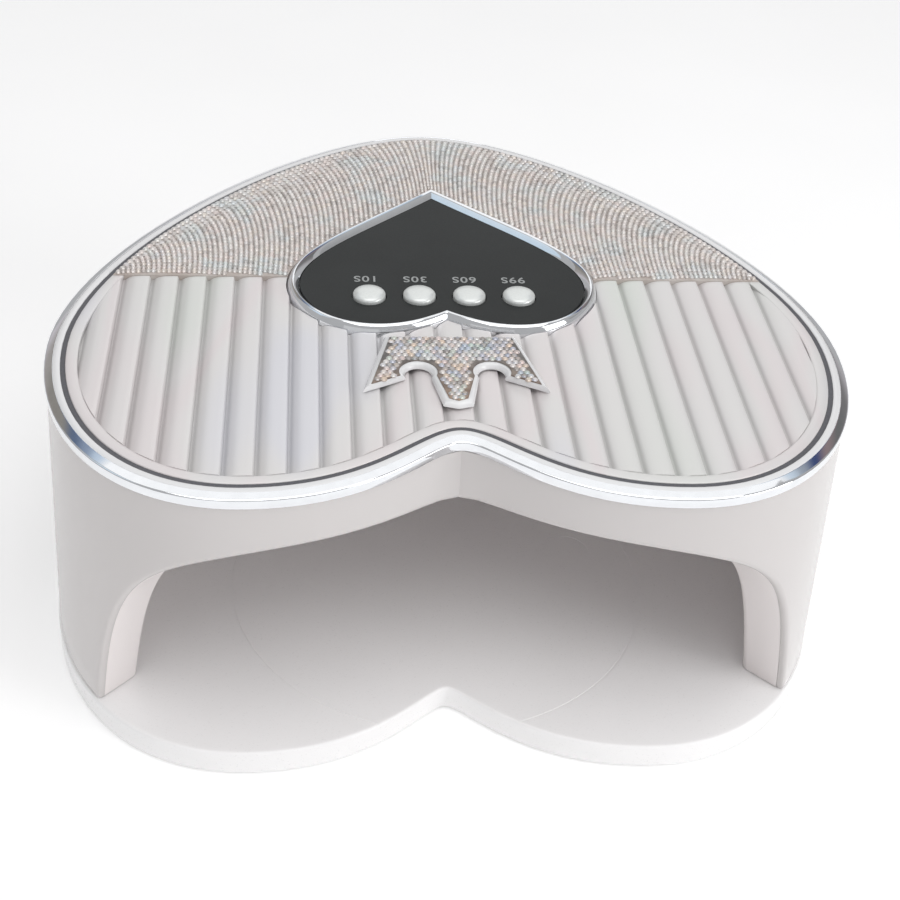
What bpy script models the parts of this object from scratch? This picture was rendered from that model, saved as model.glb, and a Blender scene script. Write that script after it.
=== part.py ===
"""Heart-shaped UV lamp for two hands, modelled as the pieces that it is assembled from.

Dimensions are millimetres here and become metres as each mesh is made. +Z is up, the hands go in
from -Y, the rounded tip of the heart points to +Y, and the lamp stands on z = 0 centred on x = y = 0.
"""

import math

import bmesh
import bpy
from mathutils import Matrix, Vector
from mathutils.geometry import interpolate_bezier

MM = 0.001
GAP = 0.3  # clearance between neighbouring pieces

# Plan: the heart outline of the top cover, right half, from the back tip to the front notch.
TIP = Vector((0.0, 98.5))
SIDE = Vector((107.5, -34.0))
LOBE = Vector((57.5, -98.5))
NOTCH = Vector((0.0, -74.0))
HEART_STEPS = 10

# Offsets from that outline, positive outward.
BASE_EDGE = 9.3
SHELL_FOOT = 8.9
SHELL_HEAD = 6.2
SHELL_WALL = 2.3
SKIRT = 3.6
RIM_INNER = 3.0
RIM_EDGE = 7.0
GROOVE = 1.35
COVER_EDGE = -0.35
CAVITY_FOOT = -5.6
CAVITY_HEAD = -12.6
LINER_WALL = 2.0
FIELD_EDGE = -4.4

# Heights.
FOOT = 1.2
BASE_TOP = 8.8
WALL_FOOT = BASE_TOP + GAP
CEILING = 82.5
CEILING_TOP = 84.3
LED_BOARD_Z = CEILING_TOP + GAP
BOARD_T = 1.6
CONTROL_BOARD_Z = 86.6
RIM_FOOT = 91.8
COVER_FOOT = 92.6
SHELL_TOP = 93.9
TOP = 96.2
FIELD = 94.6
PANEL_TOP = 96.5
BEZEL_TOP = 98.2
CROWN_FOOT = 96.7
CROWN_TOP = 98.5
STONE_TOP = 99.3

# The arched opening is wider and higher towards the front, so that its jambs face the hands.
ARCH_FRONT = -125.0
ARCH_BACK = -50.0
ARCH_EDGE = 2.2

# Controls.
BEZEL_WIDTH = 4.0
PLATE_LINE = 3.0  # y of the joint between the pleated plate and the crystal plate
BUTTON_PITCH = 14.9
BUTTON_Y = -8.0
BUTTON_R = 4.9
BUTTON_FLANGE_R = 6.0
BUTTON_NAMES = ("button_10s", "button_30s", "button_60s", "button_99s")
SWITCH_TOP = 91.8
BUTTON_STEM_FOOT = 92.7

RIB_PITCH = 8.3
RIB_HIGH = 96.15
RIB_LOW = 95.35
RIB_FLAT = 0.7  # width of the flat before a rib rises
RIB_DROP = 0.5  # width of the steep drop after it
RIB_REACH = 14  # ribs on each side of the middle

# Screws, feet and what looks through the ceiling: radii.
SCREW_R = 1.45
SCREW_HOLE_R = 1.8
SCREW_HEAD_R = 3.0
HEAD_HOLE_R = 3.3
SMALL_HEAD_R = 2.9
BOSS_R = 4.3
POST_R = 3.4
FOOT_R = 6.2
BEAD_R = 2.6
BEAD_HOLE_R = 3.0
SENSOR_R = 2.5
SENSOR_HOLE_R = 2.9

# Power inlet: height of its axis, radii of the barrel, the bore and the pin.
INLET_Z = 22.0
INLET_R = 5.3
INLET_BORE_R = 2.9
INLET_PIN_R = 1.05

WHITE = ("white_abs", (0.83, 0.82, 0.81), 0.25, 0.0)
CHROME = ("mirror_chrome", (0.85, 0.86, 0.88), 0.05, 1.0)
SILVER = ("silver_plate", (0.80, 0.79, 0.78), 0.3, 0.6)
CRYSTAL = ("crystal", (0.80, 0.76, 0.74), 0.15, 0.3)
BLACK = ("black_panel", (0.045, 0.048, 0.047), 0.35, 0.0)
BOARD = ("circuit_board", (0.03, 0.20, 0.09), 0.5, 0.0)
DARK = ("black_component", (0.03, 0.03, 0.03), 0.5, 0.0)
STEEL = ("steel", (0.60, 0.60, 0.60), 0.35, 1.0)
RUBBER = ("rubber", (0.05, 0.05, 0.05), 0.9, 0.0)


def collection(name):
    """Makes a collection in the scene."""
    made = bpy.data.collections.new(name)
    bpy.context.scene.collection.children.link(made)
    return made


def material(finish):
    """Finds or makes the Principled material of a finish."""
    name, colour, roughness, metallic = finish
    found = bpy.data.materials.get(name)
    if found:
        return found
    made = bpy.data.materials.new(name)
    made.use_nodes = True
    shader = made.node_tree.nodes["Principled BSDF"]
    shader.inputs["Base Color"].default_value = (*colour, 1.0)
    shader.inputs["Roughness"].default_value = roughness
    shader.inputs["Metallic"].default_value = metallic
    return made


def add_object(bm, name, finish=None):
    """Turns a bmesh in millimetres into an object; with no finish it is a hidden cutter."""
    bmesh.ops.recalc_face_normals(bm, faces=bm.faces)
    bmesh.ops.scale(bm, vec=(MM, MM, MM), verts=bm.verts)
    mesh = bpy.data.meshes.new(name)
    bm.to_mesh(mesh)
    bm.free()
    obj = bpy.data.objects.new(name, mesh)
    if finish:
        PARTS.objects.link(obj)
        mesh.materials.append(material(finish))
    else:
        CUTTERS.objects.link(obj)
        obj.hide_render = True
        obj.display_type = "WIRE"
    return obj


def mirrored(half):
    """Closes a right half outline, which runs from back to front, with its mirror image."""
    left = [Vector((-p.x, p.y)) for p in reversed(half) if p.x > 0.01]
    return half + left


def half_curve(segments, steps):
    """Points along Bezier segments, each (knot, handle, handle, knot), without repeated knots."""
    points = []
    for knot, handle, handle_2, knot_2 in segments:
        run = interpolate_bezier(knot, handle, handle_2, knot_2, steps + 1)
        points += [Vector(p[:2]) for p in run[:-1]]
    return points + [Vector(segments[-1][3][:2])]


def heart_segments(offset):
    """The heart's three Bezier segments on the right, grown outward by offset."""
    tip = TIP + Vector((0, offset))
    side = SIDE + Vector((offset, 0))
    lobe = LOBE - Vector((0, offset))
    notch = NOTCH - Vector((0, offset))
    back = (tip, tip + Vector((38 + 0.58 * offset, 0)), side + Vector((0, 55 + 0.55 * offset)), side)
    flank = (side, side - Vector((0, 38 + 0.55 * offset)), lobe + Vector((29 + 0.58 * offset, 0)), lobe)
    front = (lobe, lobe - Vector((35 + 0.27 * offset, 0)), notch + Vector((11.5 - 0.6 * offset, 0)), notch)
    return back, flank, front


def heart(offset):
    """The lamp's heart outline, grown outward by offset."""
    return mirrored(half_curve(heart_segments(offset), HEART_STEPS))


def on_heart(offset, segment, t, side):
    """A point on the heart outline: t along one of its segments, on the right (+1) or left (-1)."""
    a, b, c, d = heart_segments(offset)[segment]
    u = 1 - t
    p = u**3 * a + 3 * u * u * t * b + 3 * u * t * t * c + t**3 * d
    return Vector((side * p.x, p.y))


def panel_heart(offset):
    """The control panel's heart: straight back edges to a sharp tip, and a sharp notch in front."""
    tip = Vector((0, 54.3 + 1.41 * offset))
    side = Vector((42.9 + offset, -1.0))
    lobe = Vector((20.5, -23.9 - offset))
    notch = Vector((0, -15.8 - 1.2 * offset))
    back = (tip, tip + Vector((25, -25.5)), side + Vector((0, 17 + 0.3 * offset)), side)
    flank = (side, side - Vector((0, 12 + 0.55 * offset)), lobe + Vector((12.5 + 0.55 * offset, 0)), lobe)
    front = (lobe, lobe - Vector((8.5, 0)), notch + Vector((5, -3.7)), notch)
    return mirrored(half_curve((back, flank, front), 8))


def crown_outline(grow):
    """The crown, upside down to the hands: straight back, two side tips, two scoops, one centre tip."""
    centre, radius = Vector((10.2, -51.3)), 5.3 - grow
    angles = [math.radians(-20 + 27.5 * i) for i in range(9)]
    arc = [centre + radius * Vector((math.cos(a), math.sin(a))) for a in angles]
    back = -33.9 + grow
    half = [Vector((0, back)), Vector((17.4 + grow, back)), Vector((23.3 + 1.5 * grow, -57.4 - grow))]
    half += arc
    half += [Vector((2.6 + grow, -64.0 - grow)), Vector((0, -65.2 - grow))]
    return mirrored(half)


def level(outline, z):
    """A flat outline raised to z."""
    return [Vector((p.x, p.y, z)) for p in outline]


def skin(bm, rings, closed):
    """Joins like rings of points with quads; the last ring joins the first where the section is closed."""
    loops = [[bm.verts.new(p) for p in ring] for ring in rings]
    count = len(loops[0])
    pairs = list(zip(loops, loops[1:]))
    if closed:
        pairs.append((loops[-1], loops[0]))
    for lower, upper in pairs:
        for i in range(count):
            j = (i + 1) % count
            bm.faces.new((lower[i], lower[j], upper[j], upper[i]))
    return loops


def loft(name, rings, finish=None):
    """A solid through rings of points, with its two ends capped."""
    bm = bmesh.new()
    loops = skin(bm, rings, closed=False)
    bm.faces.new(loops[0])
    bm.faces.new(loops[-1])
    return add_object(bm, name, finish)


def hoop(name, rings, finish=None):
    """A ring-shaped solid whose closed section runs through the rings."""
    bm = bmesh.new()
    skin(bm, rings, closed=True)
    return add_object(bm, name, finish)


def plate(name, outline, low, high, finish=None):
    """An upright solid of one outline between two heights."""
    return loft(name, [level(outline, low), level(outline, high)], finish)


def rod(name, radius, low, high, xy, finish=None, sides=20):
    """An upright cylinder."""
    bm = bmesh.new()
    place = Matrix.Translation((xy[0], xy[1], (low + high) / 2))
    bmesh.ops.create_cone(
        bm, cap_ends=True, segments=sides, radius1=radius, radius2=radius, depth=high - low, matrix=place
    )
    return add_object(bm, name, finish)


def block(name, low, high, finish=None):
    """A box between two corners."""
    bm = bmesh.new()
    centre = [(a + b) / 2 for a, b in zip(low, high)]
    size = [b - a for a, b in zip(low, high)]
    bmesh.ops.create_cube(bm, size=1, matrix=Matrix.Translation(centre) @ Matrix.Diagonal((*size, 1)))
    return add_object(bm, name, finish)


def turned(name, profile, xy, finish=None, sides=24):
    """A solid turned about Z from a profile of (radius, z) that starts and ends on the axis."""
    bm = bmesh.new()
    inner = [(r, z) for r, z in profile if r > 0]
    angles = [math.tau * i / sides for i in range(sides)]
    x, y = xy
    rings = [[Vector((x + r * math.cos(a), y + r * math.sin(a), z)) for a in angles] for r, z in inner]
    loops = skin(bm, rings, closed=False)
    for loop, (radius, z) in ((loops[0], profile[0]), (loops[-1], profile[-1])):
        if abs(z - loop[0].co.z) < 1e-6:
            bm.faces.new(loop)
            continue
        pole = bm.verts.new((x, y, z))
        for i in range(sides):
            bm.faces.new((loop[i], loop[(i + 1) % sides], pole))
    return add_object(bm, name, finish)


def tube(name, route, radius, finish):
    """A lead: a bevelled poly curve through the route's points, made a closed mesh."""
    curve = bpy.data.curves.new(name, "CURVE")
    curve.dimensions = "3D"
    curve.bevel_depth = radius * MM
    curve.bevel_resolution = 2
    curve.use_fill_caps = True
    spline = curve.splines.new("POLY")
    spline.points.add(len(route) - 1)
    for point, place in zip(spline.points, route):
        point.co = (*(Vector(place) * MM), 1)
    obj = bpy.data.objects.new(name, curve)
    PARTS.objects.link(obj)
    curve.materials.append(material(finish))
    return obj


def boolean(obj, other, operation="DIFFERENCE"):
    """Adds an exact Boolean with a cutter."""
    made = obj.modifiers.new(other.name, "BOOLEAN")
    made.operation = operation
    made.object = other
    made.solver = "EXACT"


def arch_ring(y, grow):
    """The opening's outline at one depth: legs that lean in, round shoulders and a flat top."""
    half_width = 15.0 - y + grow
    height = 77.2 - 0.22 * (y + 80.0) + grow
    curve = interpolate_bezier(
        Vector((half_width, 0)),
        Vector((0.9 * half_width, 0.79 * height)),
        Vector((0.72 * half_width, height)),
        Vector((0, height)),
        13,
    )
    right = [(half_width, -5.0)] + [(p[0], p[1]) for p in curve]
    left = [(-x, z) for x, z in reversed(right) if x > 0.01]
    return [Vector((x, y, z)) for x, z in right + left]


def arch(name, grow):
    """A cutter for the arched opening."""
    return loft(name, [arch_ring(ARCH_FRONT, grow), arch_ring(ARCH_BACK, grow)])


def shell_offset(z):
    """How far the leaning outer wall stands outside the heart outline at a height."""
    share = (z - WALL_FOOT) / (SHELL_TOP - WALL_FOOT)
    return SHELL_FOOT + share * (SHELL_HEAD - SHELL_FOOT)


def cavity_offset(z):
    """Where the cavity's wall, which leans in towards the ceiling, stands against the heart outline."""
    return CAVITY_FOOT + (z - WALL_FOOT) / (CEILING - WALL_FOOT) * (CAVITY_HEAD - CAVITY_FOOT)


def base_screw_places():
    """Four places between the two walls, where the base is screwed to the liner's bosses."""
    return [on_heart(-0.9, segment, t, side) for segment, t in ((0, 0.45), (1, 0.1)) for side in (-1, 1)]


def liner_screw_places():
    """Four places over the ceiling, between the LED boards and the cavity wall."""
    return [on_heart(-18.0, segment, t, side) for segment, t in ((0, 0.45), (1, 0.45)) for side in (-1, 1)]


def foot_places():
    """Four rubber feet: two under the front lobes and two towards the back tip."""
    return [on_heart(-12.0, segment, t, side) for segment, t in ((0, 0.4), (1, 0.85)) for side in (-1, 1)]


def bead_places(side):
    """Lamp heads on one side: an outer row along the wall and an inner row."""
    outer = [on_heart(-33.0, 0, t, side) for t in (0.35, 0.6, 0.8, 1.0)]
    outer += [on_heart(-33.0, 1, t, side) for t in (0.4, 0.8)]
    inner = [on_heart(-62.0, 0, t, side) for t in (0.55, 0.95)] + [on_heart(-58.0, 1, 0.6, side)]
    return outer + inner


def sensor_place(side):
    """Where the hand sensor looks through the ceiling, behind the lintel."""
    return Vector((side * 52.0, -81.5))


def make_base():
    """Base plate with a rounded top edge, the cavity's floor marks, screw counterbores and feet recesses."""
    top_edge, foot_edge = 0.9, 0.3
    base = loft(
        "base_plate",
        [
            level(heart(BASE_EDGE - foot_edge), FOOT),
            level(heart(BASE_EDGE), FOOT + foot_edge),
            level(heart(BASE_EDGE), BASE_TOP - top_edge),
            level(heart(BASE_EDGE - top_edge), BASE_TOP),
        ],
        WHITE,
    )
    seam_y, seam_r, seam_w, seam_d = -27.0, 66.0, 0.5, 0.5
    mark_r, mark_x, mark_y = 6.4, 39.5, -18.6
    angles = [math.tau * i / 48 for i in range(48)]
    seam = [
        [Vector((r * math.cos(a), seam_y + r * math.sin(a), z)) for a in angles]
        for r, z in (
            (seam_r - seam_w / 2, BASE_TOP - seam_d),
            (seam_r + seam_w / 2, BASE_TOP - seam_d),
            (seam_r + seam_w / 2, BASE_TOP + 1),
            (seam_r - seam_w / 2, BASE_TOP + 1),
        )
    ]
    boolean(base, hoop("cut_floor_seam", seam))
    for side in (-1, 1):
        xy = (side * mark_x, mark_y)
        boolean(base, rod(f"cut_floor_mark_{side}", mark_r, BASE_TOP - seam_d, BASE_TOP + 1, xy))
    head_foot, head_top, thread_end, point = FOOT + 0.4, FOOT + 2.3, 18.0, 20.0
    for i, xy in enumerate(base_screw_places()):
        boolean(base, rod(f"cut_base_screw_{i}", SCREW_HOLE_R, FOOT - 1, BASE_TOP + 1, xy))
        boolean(base, rod(f"cut_base_head_{i}", HEAD_HOLE_R, FOOT - 1, head_top + GAP, xy))
        profile = [(0, head_foot), (SCREW_HEAD_R, head_foot), (SCREW_HEAD_R, head_top), (SCREW_R, head_top)]
        profile += [(SCREW_R, thread_end), (0, point)]
        turned(f"base_screw_{i + 1}", profile, xy, STEEL, sides=16)
    foot_top, chamfer = FOOT + 0.8, 0.6
    for i, xy in enumerate(foot_places()):
        boolean(base, rod(f"cut_foot_{i}", FOOT_R + GAP, FOOT - 1, foot_top + GAP, xy))
        profile = [(0, 0), (FOOT_R - chamfer, 0), (FOOT_R, chamfer), (FOOT_R, foot_top), (0, foot_top)]
        turned(f"rubber_foot_{i + 1}", profile, xy, RUBBER)


def make_shell():
    """Outer wall: one leaning skin from the base to the rim, open under the arch, with the inlet's hole."""
    shell = hoop(
        "outer_shell",
        [
            level(heart(SHELL_FOOT), WALL_FOOT),
            level(heart(SHELL_HEAD), SHELL_TOP),
            level(heart(SHELL_HEAD - SHELL_WALL), SHELL_TOP),
            level(heart(SHELL_FOOT - SHELL_WALL), WALL_FOOT),
        ],
        WHITE,
    )
    boolean(shell, arch("cut_arch_shell", 0.0))
    bm = bmesh.new()
    place = Matrix.Translation((0, TIP.y + SHELL_FOOT - SHELL_WALL, INLET_Z))
    place @= Matrix.Rotation(math.pi / 2, 4, "X")
    r = INLET_R + GAP
    bmesh.ops.create_cone(bm, cap_ends=True, segments=24, radius1=r, radius2=r, depth=16, matrix=place)
    boolean(shell, add_object(bm, "cut_inlet"))


def make_liner():
    """Cavity lining: ceiling, inner wall and the flange that closes the double wall round the opening."""
    lining = [(cavity_offset(z) + LINER_WALL, z) for z in (WALL_FOOT, CEILING_TOP)]
    liner = loft("inner_liner", [level(heart(o), z) for o, z in lining], WHITE)
    inset = SHELL_WALL + GAP
    flange_top = CEILING_TOP - 0.4
    flange = loft(
        "join_flange",
        [
            level(heart(shell_offset(WALL_FOOT) - inset), WALL_FOOT + 0.05),
            level(heart(shell_offset(flange_top) - inset), flange_top),
        ],
    )
    boolean(flange, arch("keep_flange", ARCH_EDGE), "INTERSECT")
    boolean(liner, flange, "UNION")
    boss_top, bore_top = 24.0, 21.0
    for i, xy in enumerate(base_screw_places()):
        boolean(liner, rod(f"join_boss_{i}", BOSS_R, WALL_FOOT + 0.1, boss_top, xy), "UNION")
        boolean(liner, rod(f"cut_boss_{i}", SCREW_HOLE_R, WALL_FOOT - 1, bore_top, xy))
    boolean(liner, loft("cut_cavity", [level(heart(cavity_offset(z)), z) for z in (0.0, CEILING)]))
    boolean(liner, arch("cut_arch_liner", 0.0))
    holes = [(xy, BEAD_HOLE_R) for side in (-1, 1) for xy in bead_places(side)]
    holes += [(sensor_place(side), SENSOR_HOLE_R) for side in (-1, 1)]
    holes += [(xy, SCREW_HOLE_R) for xy in liner_screw_places()]
    for i, (xy, radius) in enumerate(holes):
        boolean(liner, rod(f"cut_ceiling_{i}", radius, CEILING - 1, CEILING_TOP + 1, xy, sides=12))
    head_foot, head_top, thread_end, point = CEILING - 2.1, CEILING - GAP, 91.0, 92.4
    profile = [(0, head_foot), (SMALL_HEAD_R - 0.7, head_foot), (SMALL_HEAD_R, head_foot + 0.8)]
    profile += [(SMALL_HEAD_R, head_top), (SCREW_R, head_top), (SCREW_R, thread_end), (0, point)]
    for i, xy in enumerate(liner_screw_places()):
        turned(f"liner_screw_{i + 1}", profile, xy, STEEL, sides=16)


def make_rim():
    """Mirror band that caps the shell's head, with a skirt inside it, and the light ring inside the band."""
    cap_foot = SHELL_TOP + GAP
    band = [(SKIRT, RIM_FOOT), (SKIRT, cap_foot), (RIM_EDGE - 0.5, cap_foot), (RIM_EDGE, cap_foot + 0.4)]
    band += [(RIM_EDGE, TOP - 1.0), (RIM_EDGE - 0.6, TOP - 0.4), (RIM_INNER, TOP), (RIM_INNER, RIM_FOOT)]
    hoop("rim_band", [level(heart(o), z) for o, z in band], CHROME)
    inner, outer, edge = COVER_EDGE + GROOVE, RIM_INNER - GAP, 0.3
    ring = [(outer, COVER_FOOT), (outer, TOP - edge), (outer - edge, TOP), (inner + edge, TOP)]
    ring += [(inner, TOP - edge), (inner, COVER_FOOT)]
    hoop("rim_inner_ring", [level(heart(o), z) for o, z in ring], WHITE)


def make_cover():
    """Top cover: a plate with a flat border, a sunk field, an opening under the panel and screw posts."""
    edge = 0.3
    cover = loft(
        "top_cover",
        [
            level(heart(COVER_EDGE), COVER_FOOT),
            level(heart(COVER_EDGE), TOP - edge),
            level(heart(COVER_EDGE - edge), TOP),
        ],
        SILVER,
    )
    boolean(cover, plate("cut_field", heart(FIELD_EDGE), FIELD, TOP + 2))
    boolean(cover, plate("cut_panel_opening", panel_heart(-1.6), COVER_FOOT - 2, TOP))
    for i, xy in enumerate(liner_screw_places()):
        boolean(cover, rod(f"join_post_{i}", POST_R, CEILING_TOP + GAP, COVER_FOOT + 1, xy), "UNION")
        boolean(cover, rod(f"cut_post_{i}", SCREW_HOLE_R, CEILING_TOP - 1, COVER_FOOT + 0.6, xy))


def make_ribs():
    """Pleated plate: sawtooth ribs along Y, trimmed by the heart, the plates' joint line and the bezel."""
    bm = bmesh.new()
    top = []
    for i in range(-RIB_REACH, RIB_REACH + 1):
        x = i * RIB_PITCH + RIB_PITCH / 2
        top += [(x - RIB_PITCH + RIB_FLAT, RIB_LOW), (x - RIB_DROP, RIB_HIGH)]
    wide = (RIB_REACH + 2) * RIB_PITCH
    section = [(-wide, FIELD + GAP), (-wide, RIB_LOW)] + top + [(wide, RIB_LOW), (wide, FIELD + GAP)]
    ends = [[Vector((x, y, z)) for x, z in section] for y in (-130.0, PLATE_LINE - GAP / 2)]
    loops = skin(bm, ends, closed=False)
    for loop in loops:
        bm.faces.new(loop)
    ribs = add_object(bm, "rib_panel", SILVER)
    boolean(ribs, plate("keep_ribs", heart(FIELD_EDGE - GAP), FIELD, TOP + 4), "INTERSECT")
    boolean(ribs, plate("cut_ribs_bezel", panel_heart(BEZEL_WIDTH + GAP), FIELD - 1, TOP + 4))


def make_crystal_plate():
    """Backing plate of the small crystals, behind the joint line and round the bezel."""
    crystals = plate("crystal_panel", heart(FIELD_EDGE - GAP), FIELD + GAP, TOP, CRYSTAL)
    boolean(crystals, block("cut_crystal_front", (-130, -130, 90), (130, PLATE_LINE + GAP / 2, 100)))
    boolean(crystals, plate("cut_crystal_bezel", panel_heart(BEZEL_WIDTH + GAP), FIELD - 1, TOP + 4))


def make_panel():
    """Chrome bezel, black panel with button holes, and the crown in front of it."""
    bezel = [(BEZEL_WIDTH, FIELD + GAP), (2.8, BEZEL_TOP - 0.2), (2.3, BEZEL_TOP), (1.9, BEZEL_TOP - 0.1)]
    bezel += [(GAP, PANEL_TOP), (GAP, FIELD + GAP)]
    hoop("panel_bezel", [level(panel_heart(o), z) for o, z in bezel], CHROME)
    panel = plate("control_panel", panel_heart(0), FIELD + GAP, PANEL_TOP, BLACK)
    for i, (_, x) in enumerate(buttons()):
        boolean(panel, rod(f"cut_button_{i}", BUTTON_R + GAP, FIELD - 1, PANEL_TOP + 1, (x, BUTTON_Y)))
    loft(
        "crown_base",
        [level(crown_outline(1.5), CROWN_FOOT), level(crown_outline(0.7), CROWN_TOP)],
        SILVER,
    )
    plate("crown_crystals", crown_outline(0), CROWN_TOP + GAP, STONE_TOP, CRYSTAL)


def buttons():
    """Each button's name and x, from -X to +X."""
    return [(name, (i - 1.5) * BUTTON_PITCH) for i, name in enumerate(BUTTON_NAMES)]


def make_buttons():
    """Domed push buttons, each with a retaining flange under the panel and a stem over its switch."""
    flange_foot, flange_top, stem_r, half = FIELD - 1.0, FIELD, 1.6, 3.0
    for i, (name, x) in enumerate(buttons()):
        profile = [(0, BUTTON_STEM_FOOT), (stem_r, BUTTON_STEM_FOOT), (stem_r, flange_foot)]
        profile += [(BUTTON_FLANGE_R, flange_foot), (BUTTON_FLANGE_R, flange_top), (BUTTON_R, flange_top)]
        profile += [(BUTTON_R, 97.2), (4.5, 97.8), (3.4, 98.3), (1.8, 98.55), (0, 98.6)]
        turned(name, profile, (x, BUTTON_Y), CHROME, sides=18)
        switch = block(
            f"tact_switch_{i + 1}",
            (x - half, BUTTON_Y - half, CONTROL_BOARD_Z + BOARD_T + GAP),
            (x + half, BUTTON_Y + half, SWITCH_TOP - 0.5),
            DARK,
        )
        boolean(switch, rod(f"join_plunger_{i}", stem_r, SWITCH_TOP - 2, SWITCH_TOP, (x, BUTTON_Y)), "UNION")


def make_electronics():
    """Boards, lamp heads, sensors, display, driver parts and leads, all over the cavity ceiling."""
    board_top = CONTROL_BOARD_Z + BOARD_T
    block("control_board", (-33, -17, CONTROL_BOARD_Z), (33, 31, board_top), BOARD)
    block("timer_display", (-12, 12, board_top + GAP), (12, 27, FIELD - 0.2), DARK)
    block("driver_board", (-24, 38, CONTROL_BOARD_Z), (24, 78, board_top), BOARD)
    rod("power_inductor", 4.0, board_top + GAP, board_top + 3.6, (-12, 66), DARK)
    rod("smoothing_capacitor", 3.0, board_top + GAP, board_top + 3.8, (12, 66), DARK)
    block("control_ribbon", (-6, 28, board_top + GAP), (6, 42, board_top + 1.1), DARK)
    for name, side in (("left", -1), ("right", 1)):
        half = half_curve(heart_segments(-22.0), HEART_STEPS)
        outline = [Vector((side * max(p.x, 4.0), p.y)) for p in half if p.x > 2.0]
        board = plate(f"led_board_{name}", outline, LED_BOARD_Z, LED_BOARD_Z + BOARD_T, BOARD)
        for i, xy in enumerate(bead_places(side)):
            bead = rod(f"join_bead_{name}_{i}", BEAD_R, CEILING + 0.2, LED_BOARD_Z + 0.5, xy, sides=12)
            boolean(board, bead, "UNION")
        profile = [(0, CEILING - 0.6), (1.6, CEILING - 0.2), (SENSOR_R, CEILING + 0.6), (SENSOR_R, 87.0)]
        turned(f"hand_sensor_{name}", profile + [(0, 87.0)], sensor_place(side), DARK, sides=16)
        lead = [(side * 17, 52, board_top + 0.9), (side * 22, 50, 89.6), (side * 27, 49, 89.2)]
        lead += [(side * 31, 48, 88.0), (side * 32, 48, LED_BOARD_Z + BOARD_T + GAP)]
        tube(f"led_lead_{name}", lead, 0.6, DARK)


def make_inlet():
    """Round power inlet low on the back: a barrel with its pin, and the lead up to the driver board."""
    back, z = TIP.y, INLET_Z
    bm = bmesh.new()
    angles = [math.tau * i / 24 for i in range(24)]
    foot, mouth, floor, pin_end = -3.5, 8.4, -2.0, 7.0
    section = [(INLET_R, foot), (INLET_R, mouth), (INLET_BORE_R, mouth), (INLET_BORE_R, floor)]
    section += [(INLET_PIN_R, floor), (INLET_PIN_R, pin_end)]
    rings = [[Vector((r * math.cos(a), back + y, z + r * math.sin(a))) for a in angles] for r, y in section]
    loops = skin(bm, rings, closed=False)
    bm.faces.new(loops[0])
    bm.faces.new(loops[-1])
    add_object(bm, "power_inlet", DARK)
    route = [(0, back - 0.6, z + 5.9), (0, back - 0.6, 40), (0, back - 0.6, 60), (0, back - 0.6, 82)]
    route += [(0, back - 1.4, 86.5), (0, back - 4.5, 89.6), (0, back - 9, 90.4), (0, back - 16, 90.3)]
    route += [(0, back - 23, 89.8)]
    tube("power_lead", route, 1.2, DARK)


def clear_scene():
    """Removes what the file starts with."""
    for obj in list(bpy.data.objects):
        bpy.data.objects.remove(obj)


clear_scene()
PARTS = collection("uv_nail_lamp")
CUTTERS = collection("cutters")
make_base()
make_shell()
make_liner()
make_rim()
make_cover()
make_ribs()
make_crystal_plate()
make_panel()
make_buttons()
make_electronics()
make_inlet()
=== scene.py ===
"""Builds the looks of a heart-shaped two-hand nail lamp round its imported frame.

Lengths in the modelling functions are millimetres and become metres when a piece is finished. Sections
list (offset from the outline, height) and profiles list (radius, height), point by point. +Z is up,
the hands go in from -Y and the rounded tip of the heart points to +Y. Every operator makes one piece or
one group of like pieces, and the sidebar panel lists them in the order in which they are built.
"""

import math
import random

import bmesh
import bpy
from bpy.props import FloatProperty, FloatVectorProperty, IntProperty, PointerProperty
from mathutils import Matrix, Vector
from mathutils.geometry import interpolate_bezier


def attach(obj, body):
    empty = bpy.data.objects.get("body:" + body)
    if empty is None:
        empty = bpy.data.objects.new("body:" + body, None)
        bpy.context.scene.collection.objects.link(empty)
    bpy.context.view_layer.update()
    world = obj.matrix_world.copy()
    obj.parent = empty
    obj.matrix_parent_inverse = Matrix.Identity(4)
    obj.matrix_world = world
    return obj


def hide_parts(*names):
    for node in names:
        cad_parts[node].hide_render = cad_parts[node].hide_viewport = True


bl_info = {
    "name": "Heart Nail Lamp",
    "version": (1, 0, 0),
    "blender": (4, 5, 0),
    "location": "3D View > Sidebar > Nail Lamp",
    "description": "Builds a heart-shaped two-hand nail lamp with crystal top, push buttons and studio stage",
    "category": "Add Mesh",
}

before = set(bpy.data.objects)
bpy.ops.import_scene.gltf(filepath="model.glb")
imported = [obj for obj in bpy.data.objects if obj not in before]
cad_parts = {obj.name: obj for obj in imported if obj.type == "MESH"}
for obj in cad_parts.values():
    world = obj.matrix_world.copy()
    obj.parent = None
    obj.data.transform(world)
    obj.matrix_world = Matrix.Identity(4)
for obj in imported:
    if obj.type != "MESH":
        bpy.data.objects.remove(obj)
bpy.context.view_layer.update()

MM = 0.001
GAP = 0.3

# Plan outline of the top, right half: tip, widest point, front of the lobe, notch.
TIP = Vector((0.0, 98.5))
SIDE = Vector((107.5, -34.0))
LOBE = Vector((57.5, -98.5))
NOTCH = Vector((0.0, -74.0))

# Offsets from that outline, positive outward.
BASE_EDGE = 9.3
SHELL_FOOT = 8.9
SHELL_HEAD = 5.0
SHELL_WALL = 2.3
RIM_INNER = 3.0
RIM_EDGE = 5.5
COVER_EDGE = -0.35
CAVITY_FOOT = -5.6
CAVITY_HEAD = -12.6
GROOVE = 1.35
FIELD_EDGE = -3.6
SHEET_EDGE = -0.7

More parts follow.
